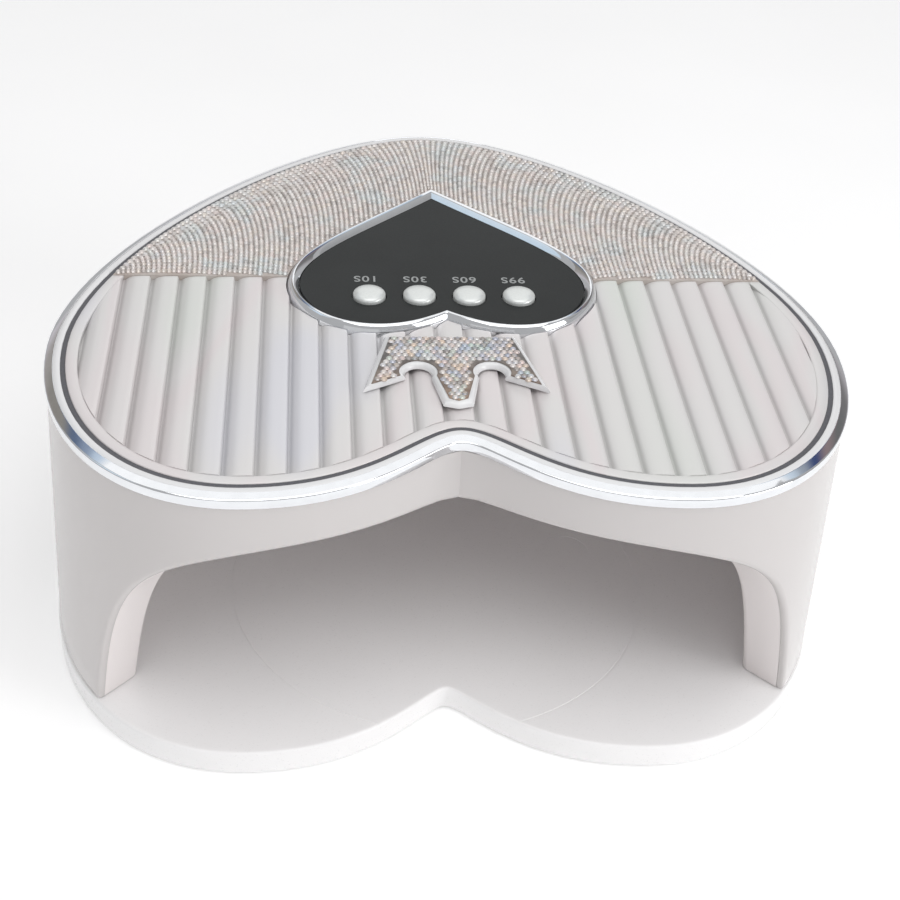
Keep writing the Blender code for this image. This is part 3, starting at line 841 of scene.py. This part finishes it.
class LAMP_OT_shell(bpy.types.Operator):
    """Outer wall with its rounded edge round the arched opening and the hole for the power inlet"""

    bl_idname = "nail_lamp.shell"
    bl_label = "Outer shell"

    def execute(self, context):
        edge, inner_round, hole = sizes().edge_round / MM, 0.1, 5.6
        outer, inner = inset_wall(0), inset_wall(SHELL_WALL)
        lower = wall_ring(edge, WALL_FOOT + edge, outer)
        rings = [wall_points(lower, outer, SHELL_TOP, 1 - i / WALL_ROWS) for i in range(WALL_ROWS + 1)]
        bends = arc(edge, 4)[1:]
        bends += [(reach, SHELL_WALL - leave) for leave, reach in arc(inner_round, 2)]
        for grow, depth in bends:
            surface = inset_wall(depth)
            rings.append(wall_points(wall_ring(grow, WALL_FOOT + grow, surface), surface))
        upper = wall_ring(inner_round, WALL_FOOT + inner_round, inner)
        rings += [wall_points(upper, inner, SHELL_TOP, i / WALL_ROWS) for i in range(1, WALL_ROWS + 1)]
        shell = sweep(rings, closed=True)
        bore = turned([(0, -6), (hole, -6), (hole, 10), (0, 10)], (0, TIP.y + 6, INLET_Z), axis="Y")
        shell = carve(shell, bore)
        finish_piece(shell, "outer_shell_skin", "moulded_white_shell", ["outer_shell"])
        return {"FINISHED"}


class LAMP_OT_liner(bpy.types.Operator):
    """Cavity lining: jambs, rounded corners, cavity wall and the ceiling with its holes"""

    bl_idname = "nail_lamp.liner"
    bl_label = "Inner liner"

    def execute(self, context):
        radius = sizes().jamb_round / MM
        lip, edge, turns = inset_wall(SHELL_WALL + 0.08), 0.12, 7

        def corner(z):
            return cavity_offset(z) + radius

        def lower_ring(grow, surface):
            ring = wall_ring(grow, WALL_FOOT, surface)
            rings.append(wall_points(ring, surface))
            return ring

        rings = []
        lower_ring(edge, lip)
        for share in (0.03, 0.5, 1.0):
            lower_ring(0.0, lambda z: lip(z) * (1 - share) + corner(z) * share)
        for i in range(1, turns + 1):
            turn = math.pi / 2 * i / turns
            last = lower_ring(radius * (1 - math.cos(turn)), lambda z: corner(z) - radius * math.sin(turn))
        bend = 2.0
        top = CEILING - bend
        rings += [wall_points(last, cavity_offset, top, i / WALL_ROWS) for i in range(1, WALL_ROWS + 1)]
        ways = [way for way, _ in last]
        for reach, leave in [*arc(bend, 4)[1:], (0.0, 8.0)]:
            half = [on_heart(cavity_offset(top) - leave, way) for way in ways]
            rings.append(level(mirrored(half), CEILING - reach))
        skin = sweep(rings, open_start=True)
        ceiling = max(skin.faces, key=lambda f: f.calc_center_median().z)
        if ceiling.normal.z < 0:
            bmesh.ops.reverse_faces(skin, faces=skin.faces)
        thick = {"thickness": 1.8, "offset": 1.0, "use_even_offset": False}
        skin = with_modifier((skin,), "SOLIDIFY", thick)
        places = [(3.0, xy) for side in (-1, 1) for xy in bead_places(side)]
        places += [(2.9, mirror_to(SENSOR, side)) for side in (-1, 1)]
        holes = [rod(radius, CEILING - 1, CEILING + 4, xy) for radius, xy in places]
        skin = carve(skin, merged(holes))
        finish_piece(skin, "inner_liner_skin", "moulded_white_liner", ["inner_liner"])
        return {"FINISHED"}


class LAMP_OT_rim(bpy.types.Operator):
    """Mirror band that caps the shell, the light ring inside it, and a dark strip of painted shade in the
    groove
    """

    bl_idname = "nail_lamp.rim"
    bl_label = "Rim"

    def execute(self, context):
        cap_foot = SHELL_TOP + 0.15
        band = [(RIM_INNER, cap_foot), (5.0, cap_foot), (5.35, cap_foot + 0.1), (RIM_EDGE, cap_foot + 0.35)]
        band += [(RIM_EDGE, 94.9), (5.44, 95.1), (5.28, 95.27), (5.02, 95.39), (3.35, 96.02), (3.18, 96.07)]
        band += [(3.06, 96.06), (RIM_INNER, 96.0)]
        rim = stacked(band, closed=True)
        finish_piece(rim, "rim_mirror_band", "mirror_chrome_plate", ["rim_band"], sharp=40)
        outer, inner, ledge = RIM_INNER - 0.03, COVER_EDGE + GROOVE, 94.2
        ring = [(outer, COVER_FOOT), (outer, 96.0), (outer - 0.06, 96.06), (outer - 0.2, 96.1)]
        ring += [(1.9, 96.14), (inner + 0.35, 96.12), (inner + 0.1, 96.0), (inner, 95.8), (inner, ledge)]
        ring += [(COVER_EDGE + 0.05, ledge), (COVER_EDGE + 0.05, COVER_FOOT)]
        light = stacked(ring, closed=True)
        finish_piece(light, "rim_light_ring", "polished_white_ring", ["rim_inner_ring"])
        outer, inner = inner - 0.02, COVER_EDGE + 0.03
        # Painted shade: a dark strip in the groove between the light ring and the cover.
        groove = [(outer, ledge), (outer, 95.85), (inner, 95.9), (inner, ledge)]
        lining = stacked(groove, closed=True)
        finish_piece(lining, "rim_groove_shade_strip", "dark_groove_lining")
        return {"FINISHED"}


class LAMP_OT_cover(bpy.types.Operator):
    """Top cover with its flat border and the sunk field that carries the plates"""

    bl_idname = "nail_lamp.cover"
    bl_label = "Top cover"

    def execute(self, context):
        section = [(COVER_EDGE - 1.5, COVER_FOOT), (COVER_EDGE, COVER_FOOT)]
        section += [(COVER_EDGE - out, TOP - down) for down, out in arc(0.35, 3)]
        fall = ((0.5, 0.0), (0.25, 0.05), (0.0, 0.25))
        section += [(FIELD_EDGE + reach, TOP - down) for reach, down in fall]
        section += [(FIELD_EDGE, FIELD), (FIELD_EDGE - 1.5, FIELD)]
        cover = stacked(section)
        finish_piece(cover, "top_cover_skin", "pearl_silver_lacquer", ["top_cover"])
        return {"FINISHED"}


class LAMP_OT_pleats(bpy.types.Operator):
    """Pleated plate: each pleat rises in a curve towards +X and then drops steeply"""

    bl_idname = "nail_lamp.pleats"
    bl_label = "Pleated plate"

    def execute(self, context):
        pitch, low, high = sizes().rib_pitch / MM, sizes().rib_low / MM, sizes().rib_high / MM
        reach, drop, lip, valley, steepness = 14, 0.3, 0.35, 0.6, 4.2
        top = []
        for i in range(-reach, reach + 1):
            start = i * pitch - pitch / 2 + 0.1
            top.append((start, low))
            for share in (0.0, 0.04, 0.09, 0.15, 0.22, 0.3, 0.4, 0.52, 0.66, 0.82, 1.0):
                rise = 1 - (1 - share) ** steepness
                across = start + valley + share * (pitch - valley - drop - lip)
                top.append((across, low + rise * (high - low)))
            crest = start + pitch - drop - lip
            top += [(crest + 0.6 * lip, high - 0.08), (crest + lip, high - 0.3)]
        wide, foot = (reach + 2) * pitch, FIELD + 0.02
        section = [(-wide, foot), (-wide, low), *top, (wide, low), (wide, foot)]
        ends = [[Vector((x, y, z)) for x, z in section] for y in (-130.0, PLATE_LINE - 0.1)]
        plate = sweep(ends)
        edge = heart(FIELD_EDGE - 0.04)
        plate = carve(plate, punch(edge), "INTERSECT")
        hole = panel_heart(BEZEL_WIDTH + 0.1)
        plate = carve(plate, punch(hole))
        finish_piece(plate, "pleated_plate", "pearl_silver_lacquer", ["rib_panel"], sharp=40)
        return {"FINISHED"}


STONE_BLOCK = 80
TILT = 0.09
# Foil tints of the field's and the crown's stones, with whites and greys that are painted glints of facets
# catching or missing the light.
FIELD_TINTS_AND_GLINTS = ("FFFFFF", "F8F1EE", "FBEDEA", "EFF4F0", "EDF1F8", "FBF2E4", "E4DFDB", "C9C3BF", "A39C98", "FFFFFF")
CROWN_TINTS_AND_GLINTS = ("FFFFFF", "F9E6E4", "DDEEE4", "CEDAF2", "FDE6CC")
CROWN_TINTS_AND_GLINTS += ("B4C3E0", "B5AFAA", "8E8985", "F0F4FB", "FFFFFF")


def stone_shape():
    """One flat-backed stone, one unit wide and long: eight sides, a bevelled crown and a table."""
    stone = bmesh.new()
    radius, depth = 0.55, 0.4
    raised = Matrix.Translation((0, 0, depth / 2))
    bmesh.ops.create_cone(
        stone, cap_ends=True, segments=8, radius1=radius, radius2=radius, depth=depth, matrix=raised
    )
    bmesh.ops.rotate(stone, verts=stone.verts, cent=(0, 0, 0), matrix=Matrix.Rotation(math.pi / 8, 3, "Z"))
    table = max(stone.faces, key=lambda f: f.calc_center_median().z)
    bmesh.ops.inset_region(stone, faces=[table], thickness=0.22, depth=0.45)
    return stone


def set_stones(places, height, foot, tints_and_glints, seed):
    """Sets stones on (point, turn, width, length) places, each with its own tints, painted glints on its
    facets and a slight tilt.
    """
    draw = random.Random(seed)
    palette = [linear(code) for code in tints_and_glints]
    blocks = []
    for start in range(0, len(places), STONE_BLOCK):
        bm = stone_shape()
        layer = bm.loops.layers.float_color.new("tint_and_glint")
        pattern = bm.verts[:] + bm.edges[:] + bm.faces[:]
        for point, turn, width, length in places[start : start + STONE_BLOCK]:
            made = bmesh.ops.duplicate(bm, geom=pattern)["geom"]
            lean, roll = (Matrix.Rotation(draw.uniform(-TILT, TILT), 4, axis) for axis in "XY")
            place = Matrix.Translation((*point, foot)) @ lean @ roll @ Matrix.Rotation(turn, 4, "Z")
            place @= Matrix.Diagonal((width, length, height, 1))
            points = [item for item in made if isinstance(item, bmesh.types.BMVert)]
            bmesh.ops.transform(bm, matrix=place, verts=points)
            own = draw.choice(palette)
            for face in (item for item in made if isinstance(item, bmesh.types.BMFace)):
                # Each face mixes the stone's tint with another from the list: foil tints, and whites and
                # greys that are painted glints.
                share, other = draw.uniform(0.0, 0.6), draw.choice(palette)
                tint = [a * (1 - share) + b * share for a, b in zip(own, other)]
                for corner in face.loops:
                    corner[layer] = (*tint, 1)
        spent = [item for item in pattern if isinstance(item, bmesh.types.BMVert)]
        bmesh.ops.delete(bm, geom=spent, context="VERTS")
        blocks.append(bm)
    return merged(blocks)


def field_places(pitch):
    """Places of the crystal field's stones: columns leave the rim squarely and bend to meet the joint."""
    edge, line = SHEET_EDGE - 0.15, PLATE_LINE + 0.1
    steps, column_gap, widest, narrowest = 900, 1.12, 1.4, 0.4
    rim = [on_heart(edge, i / steps) for i in range(steps + 1)]
    end = next(i for i, p in enumerate(rim) if p.y < line + pitch * 0.5)
    lengths = [0.0]
    for a, b in zip(rim[:end], rim[1:end]):
        lengths.append(lengths[-1] + (b - a).length)
    count = int(lengths[-1] / (pitch * column_gap))
    columns = []
    for k in range(count + 1):
        aim = lengths[-1] * (k + 0.5) / (count + 1)
        i = next(i for i, run in enumerate(lengths) if run >= aim)
        start = rim[i]
        along = (rim[i + 1] - rim[i - 1]).normalized()
        inward = Vector((along.y, -along.x))
        goal = Vector((rim[end].x * (k + 0.5) / (count + 1), line - pitch))
        span = (goal - start).length
        curve = (start, start + inward * span * 0.3, goal + Vector((0, span * 0.12)), goal)
        path = [Vector(p[:2]) for p in interpolate_bezier(*curve, 200)]
        columns.append(walk(path, pitch))
    bezel = panel_heart(BEZEL_WIDTH + 0.5)
    places = []
    for k, column in enumerate(columns):
        near = columns[k - 1] if k else columns[k + 1]
        for n, (point, along) in enumerate(column):
            if n >= len(near) or point.y < line + pitch * 0.45 or inside(point, bezel):
                continue
            across = Vector((-along.y, along.x))
            width = min(abs((near[n][0] - point).dot(across)), pitch * widest)
            if width < pitch * narrowest:
                continue
            turn = math.atan2(along.y, along.x) - math.pi / 2
            places += [(Vector((side * point.x, point.y)), side * turn, width, pitch) for side in (-1, 1)]
    return places


def walk(path, step):
    """Points and directions at even steps along a path, half a step in from its start."""
    found, aim, run = [], step * 0.5, 0.0
    for a, b in zip(path, path[1:]):
        length = (b - a).length
        while length and run + length >= aim:
            found.append((a + (b - a) * ((aim - run) / length), (b - a).normalized()))
            aim += step
        run += length
    return found


class LAMP_OT_crystals(bpy.types.Operator):
    """Crystal field: a thin backing sheet and its rows of small foil-backed stones"""

    bl_idname = "nail_lamp.crystals"
    bl_label = "Crystal field"

    def execute(self, context):
        pitch = sizes().stone_pitch / MM
        inner, outer = heart(FIELD_EDGE - 0.04), heart(SHEET_EDGE)
        steps = ((inner, FIELD + 0.02), (inner, TOP + 0.03), (outer, TOP + 0.03), (outer, TOP + 0.28))
        sheet = sweep([level(outline, z) for outline, z in steps])
        front = bmesh.new()
        place = Matrix.Translation((0, PLATE_LINE - 75, TOP)) @ Matrix.Diagonal((300, 150, 20, 1))
        bmesh.ops.create_cube(front, size=1, matrix=place)
        hole = panel_heart(BEZEL_WIDTH + 0.1)
        sheet = carve(sheet, front)
        sheet = carve(sheet, punch(hole))
        finish_piece(sheet, "crystal_backing", "stone_backing_sheet", ["crystal_panel"])
        stones = set_stones(field_places(pitch), 0.95, TOP + 0.2, FIELD_TINTS_AND_GLINTS, sizes().seed)
        finish_piece(stones, "crystal_field_stones", "foil_backed_stones", sharp=10)
        return {"FINISHED"}


class LAMP_OT_panel(bpy.types.Operator):
    """Chrome bezel, black control panel and the printed times"""

    bl_idname = "nail_lamp.panel"
    bl_label = "Control panel"

    def execute(self, context):
        foot = FIELD + GAP
        section = [(BEZEL_WIDTH, foot), (3.75, 95.9), (3.35, 97.0), (2.95, 97.7), (2.6, 98.05)]
        section += [(2.2, BEZEL_TOP), (1.85, 98.1), (1.5, 97.85), (1.0, 97.35), (0.5, 96.75)]
        section += [(0.2, 96.35), (0.15, foot)]
        bezel = stacked(section, panel_heart, closed=True)
        finish_piece(bezel, "panel_chrome_bezel", "mirror_chrome_plate", ["panel_bezel"])
        section = [(-1.0, foot), (0.0, foot), (0.0, PANEL_TOP - 0.2), (-0.2, PANEL_TOP), (-1.0, PANEL_TOP)]
        panel = stacked(section, panel_heart)
        tools = [rod(5.2, FIELD - 1, PANEL_TOP + 1, (x, BUTTON_Y), 64) for _, x in button_places()]
        panel = carve(panel, merged(tools))
        finish_piece(panel, "control_panel_face", "satin_black_acrylic", ["control_panel"])
        lettering, shift, line, width = [], 0.7, 2.1, 1.38
        for word, (_, x) in zip(LABELS, button_places()):
            text = bpy.data.curves.new("label", "FONT")
            text.body, text.align_x, text.align_y = word, "CENTER", "CENTER"
            text.size = sizes().label_height / MM * width
            text.extrude, text.offset, text.space_character = 0.02, 0.06, 1.12
            carrier = bpy.data.objects.new("label", text)
            context.scene.collection.objects.link(carrier)
            graph = context.evaluated_depsgraph_get()
            mesh = bpy.data.meshes.new_from_object(carrier.evaluated_get(graph))
            place = Matrix.Translation((x - shift, line, PANEL_TOP + 0.03))
            mesh.transform(place @ Matrix.Rotation(math.pi, 4, "Z"))
            bm = bmesh.new()
            bm.from_mesh(mesh)
            lettering.append(bm)
            bpy.data.objects.remove(carrier)
            bpy.data.meshes.remove(mesh)
        finish_piece(merged(lettering), "time_labels", "printed_grey_ink")
        return {"FINISHED"}


class LAMP_OT_buttons(bpy.types.Operator):
    """Four domed push buttons, each on its own moving body"""

    bl_idname = "nail_lamp.buttons"
    bl_label = "Push buttons"

    def execute(self, context):
        stem, stem_foot, flange, flange_foot, flange_top = 1.6, 92.7, 6.0, FIELD - 1.0, FIELD
        for name, x in button_places():
            profile = [(0, stem_foot), (stem, stem_foot), (stem, flange_foot), (flange, flange_foot)]
            profile += [(flange, flange_top), (4.9, flange_top), (4.9, 96.9), (4.86, 97.2), (4.7, 97.55)]
            profile += [(4.4, 97.85), (3.9, 98.12), (3.2, 98.33), (2.3, 98.48), (1.2, 98.57), (0, 98.6)]
            cap = turned(profile, (x, BUTTON_Y), 56)
            finish_piece(cap, f"{name}_cap", "satin_button_plate", [name], name)
        return {"FINISHED"}


class LAMP_OT_crown(bpy.types.Operator):
    """Crown: a clear bevelled base and the stones set on it"""

    bl_idname = "nail_lamp.crown"
    bl_label = "Crystal crown"

    def execute(self, context):
        section = [(1.2, CROWN_FOOT), (1.5, CROWN_FOOT + 0.25), (1.45, 97.4), (1.1, 98.0), (0.75, 98.35)]
        section += [(0.5, CROWN_TOP)]
        base = stacked(section, crown_outline)
        finish_piece(base, "crown_clear_base", "clear_polished_styrene", ["crown_base"])
        section = [(-0.15, CROWN_TOP + 0.05), (0.0, CROWN_TOP + 0.1), (0.0, 98.75), (-0.2, 98.85)]
        tray = stacked(section, crown_outline)
        finish_piece(tray, "crown_stone_tray", "crown_tray_edge", ["crown_crystals"])
        pitch, edge, height, sink = sizes().crown_pitch / MM, crown_outline(-0.75), 0.72, 0.7
        places = []
        for row in range(-1, 18):
            for column in range(-14, 15):
                point = Vector(((column + 0.5 * (row % 2)) * pitch, CROWN_BACK - (row + 0.5) * pitch * 0.95))
                if inside(point, edge):
                    places.append((point, 0.0, pitch * 0.98, pitch * 0.98))
        stones = set_stones(places, height, STONE_TOP - sink, CROWN_TINTS_AND_GLINTS, sizes().seed + 1)
        finish_piece(stones, "crown_stones", "crown_stones", sharp=10)
        return {"FINISHED"}


class LAMP_OT_lamps(bpy.types.Operator):
    """Lenses of the lamp heads that look down through the ceiling"""

    bl_idname = "nail_lamp.lamps"
    bl_label = "Lamp lenses"

    def execute(self, context):
        profile = [(0, 82.75), (2.5, 82.75), (2.5, 82.5), (2.35, 82.0), (1.9, 81.5), (1.2, 81.15), (0, 81.0)]
        lenses = [turned(profile, xy, 20) for side in (-1, 1) for xy in bead_places(side)]
        finish_piece(merged(lenses), "lamp_lenses", "lilac_lamp_lens")
        return {"FINISHED"}


class LAMP_OT_inlet(bpy.types.Operator):
    """Round power inlet low on the back, with its bore and pin"""

    bl_idname = "nail_lamp.inlet"
    bl_label = "Power inlet"

    def execute(self, context):
        profile = [(0, -3.5), (5.3, -3.5), (5.3, 8.1), (5.2, 8.3), (5.0, 8.4), (3.2, 8.4), (2.95, 8.25)]
        profile += [(2.9, 8.0), (2.9, -2.0), (1.05, -2.0), (1.05, 6.6), (0.8, 7.0), (0, 7.0)]
        inlet = turned(profile, (0, TIP.y, INLET_Z), 40, "Y")
        finish_piece(inlet, "power_inlet_barrel", "black_moulded_nylon", ["power_inlet"])
        return {"FINISHED"}


class LAMP_OT_carried(bpy.types.Operator):
    """Gives the carried-over frame parts their real materials"""

    bl_idname = "nail_lamp.carried"
    bl_label = "Carried-over parts"

    def execute(self, context):
        for name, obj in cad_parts.items():
            if "board" in name:
                material = finish("green_circuit_board")
            elif "screw" in name:
                material = finish("zinc_plated_steel")
            elif "rubber" in name:
                material = finish("soft_black_rubber")
            else:
                material = finish("black_moulded_nylon")
            obj.data.materials.clear()
            obj.data.materials.append(material)
        return {"FINISHED"}


def area_light(name, place, aim, size, power):
    """A soft rectangular studio light turned to its aim."""
    data = bpy.data.lights.new(name, "AREA")
    data.shape, data.size, data.size_y = "RECTANGLE", *size
    data.energy = power
    obj = bpy.data.objects.new(name, data)
    bpy.context.scene.collection.objects.link(obj)
    obj.location = place
    obj.rotation_euler = (Vector(aim) - Vector(place)).to_track_quat("-Z", "Y").to_euler()


def reflector(name, place, aim, size, codes, light=1.0):
    """A studio card seen only by reflections."""
    bm = bmesh.new()
    turn = (Vector(aim) - Vector(place)).to_track_quat("-Z", "Y").to_matrix().to_4x4()
    matrix = Matrix.Translation(place) @ turn @ Matrix.Diagonal((*size, 1, 1))
    bmesh.ops.create_grid(bm, x_segments=2, y_segments=2, size=0.5, matrix=matrix)
    obj = as_object(bm, name)
    heights = [v.co.z for v in obj.data.vertices]
    obj.data.materials.append(card_finish(name + "_finish", codes, light, min(heights), max(heights)))
    obj.visible_camera = obj.visible_diffuse = obj.visible_shadow = obj.visible_transmission = False


class LAMP_OT_stage(bpy.types.Operator):
    """White floor, soft lights, reflector cards and the camera"""

    bl_idname = "nail_lamp.stage"
    bl_label = "Studio stage"

    def execute(self, context):
        scene = context.scene
        bm = bmesh.new()
        bmesh.ops.create_grid(bm, x_segments=8, y_segments=8, size=6.0)
        floor = as_object(bm, "studio_floor")
        floor.data.materials.append(studio_floor("seamless_white_paper"))
        world = bpy.data.worlds.new("studio_air")
        world.use_nodes = True
        background = world.node_tree.nodes["Background"]
        background.inputs["Color"].default_value = (*linear("FBFBFC"), 1)
        background.inputs["Strength"].default_value = 0.48
        scene.world = world
        scene.view_settings.view_transform = "Standard"
        area_light("overhead_softbox", (0.1, -0.55, 1.45), (0, 0, 0.05), (1.6, 1.2), 11)
        area_light("right_softbox", (1.1, -0.7, 0.5), (0, 0, 0.06), (0.7, 0.6), 5)
        area_light("front_fill", (-0.5, -1.4, 0.35), (0, 0, 0.03), (1.2, 0.5), 0.3)
        white = ("FFFFFF", "FFFFFF")
        reflector("back_card", (0, 1.3, 1.1), (0, 0, 0.09), (2.6, 1.2), white, 1.1)
        reflector("top_card", (0, 0.6, 1.6), (0, 0.6, 0), (2.2, 1.1), white, 1.1)
        reflector("left_sky_card", (-1.0, 0, 0.85), (0, 0, 0.09), (0.5, 0.5), ("CFE0EE", "DCE8F2"))
        reflector("right_wall_card", (1.1, 0.05, 0.65), (0, 0, 0.09), (0.5, 0.5), ("9C9C9C", "B4B4B4"))
        left = ("C9C4C8", "A39E9A", "8F8B85", "8F8B85", "5F6E88", "8C9AB0", "C9D8E8", "FFFFFF")
        right = ("B0ACAE", "7A7878", "6F6F6F", "8F7F80", "3F4E78", "9DA5B0", "CFDDEA", "FFFFFF")
        away, height = 1.2, 0.99
        for name, turn, codes in (("left_window_card", -40, left), ("right_window_card", 49, right)):
            angle = math.radians(turn)
            place = (away * math.sin(angle), away * math.cos(angle), height)
            reflector(name, place, (0, 0, height), (0.88, 1.28), codes)
        place_camera(scene)
        return {"FINISHED"}


def place_camera(scene):
    """A long lens from the front, above and a little to the left."""
    turn, lift, roll = math.radians(6.362), math.radians(36.476), math.radians(3.839)
    forward = Vector((math.sin(turn) * math.cos(lift), math.cos(turn) * math.cos(lift), -math.sin(lift)))
    right = Vector((math.cos(turn), -math.sin(turn), 0))
    up = right.cross(forward)
    across = math.cos(roll) * right + math.sin(roll) * up
    upright = math.cos(roll) * up - math.sin(roll) * right
    data = bpy.data.cameras.new("studio_camera")
    data.lens, data.sensor_width, data.clip_start = 63.05, 36.0, 0.01
    camera = bpy.data.objects.new("studio_camera", data)
    scene.collection.objects.link(camera)
    place = Vector((-0.0401, -0.4106, 0.3391))
    turned_to = Matrix((across, upright, -forward)).transposed().to_4x4()
    camera.matrix_world = Matrix.Translation(place) @ turned_to
    scene.camera = camera


STEPS = (
    LAMP_OT_carried,
    LAMP_OT_base,
    LAMP_OT_shell,
    LAMP_OT_liner,
    LAMP_OT_rim,
    LAMP_OT_cover,
    LAMP_OT_pleats,
    LAMP_OT_crystals,
    LAMP_OT_panel,
    LAMP_OT_buttons,
    LAMP_OT_crown,
    LAMP_OT_lamps,
    LAMP_OT_inlet,
    LAMP_OT_stage,
)


class LAMP_PT_sidebar(bpy.types.Panel):
    """Lists the lamp's build steps, sizes and colours"""

    bl_idname = "LAMP_PT_sidebar"
    bl_label = "Heart Nail Lamp"
    bl_space_type = "VIEW_3D"
    bl_region_type = "UI"
    bl_category = "Nail Lamp"

    def draw(self, context):
        for step in STEPS:
            self.layout.operator(step.bl_idname)
        for group in (context.scene.lamp_sizes, context.scene.lamp_colours):
            box = self.layout.box()
            for key in group.__annotations__:
                box.prop(group, key)


CLASSES = (LampSizes, LampColours, *STEPS, LAMP_PT_sidebar)


def register():
    """Registers the classes and the scene's settings."""
    for item in CLASSES:
        bpy.utils.register_class(item)
    bpy.types.Scene.lamp_sizes = PointerProperty(type=LampSizes)
    bpy.types.Scene.lamp_colours = PointerProperty(type=LampColours)


def unregister():
    """Removes the settings and the classes."""
    del bpy.types.Scene.lamp_sizes
    del bpy.types.Scene.lamp_colours
    for item in reversed(CLASSES):
        bpy.utils.unregister_class(item)


def main():
    """Registers the add-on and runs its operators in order."""
    register()
    for step in STEPS:
        group, name = step.bl_idname.split(".")
        getattr(getattr(bpy.ops, group), name)()


if __name__ == "__main__":
    main()
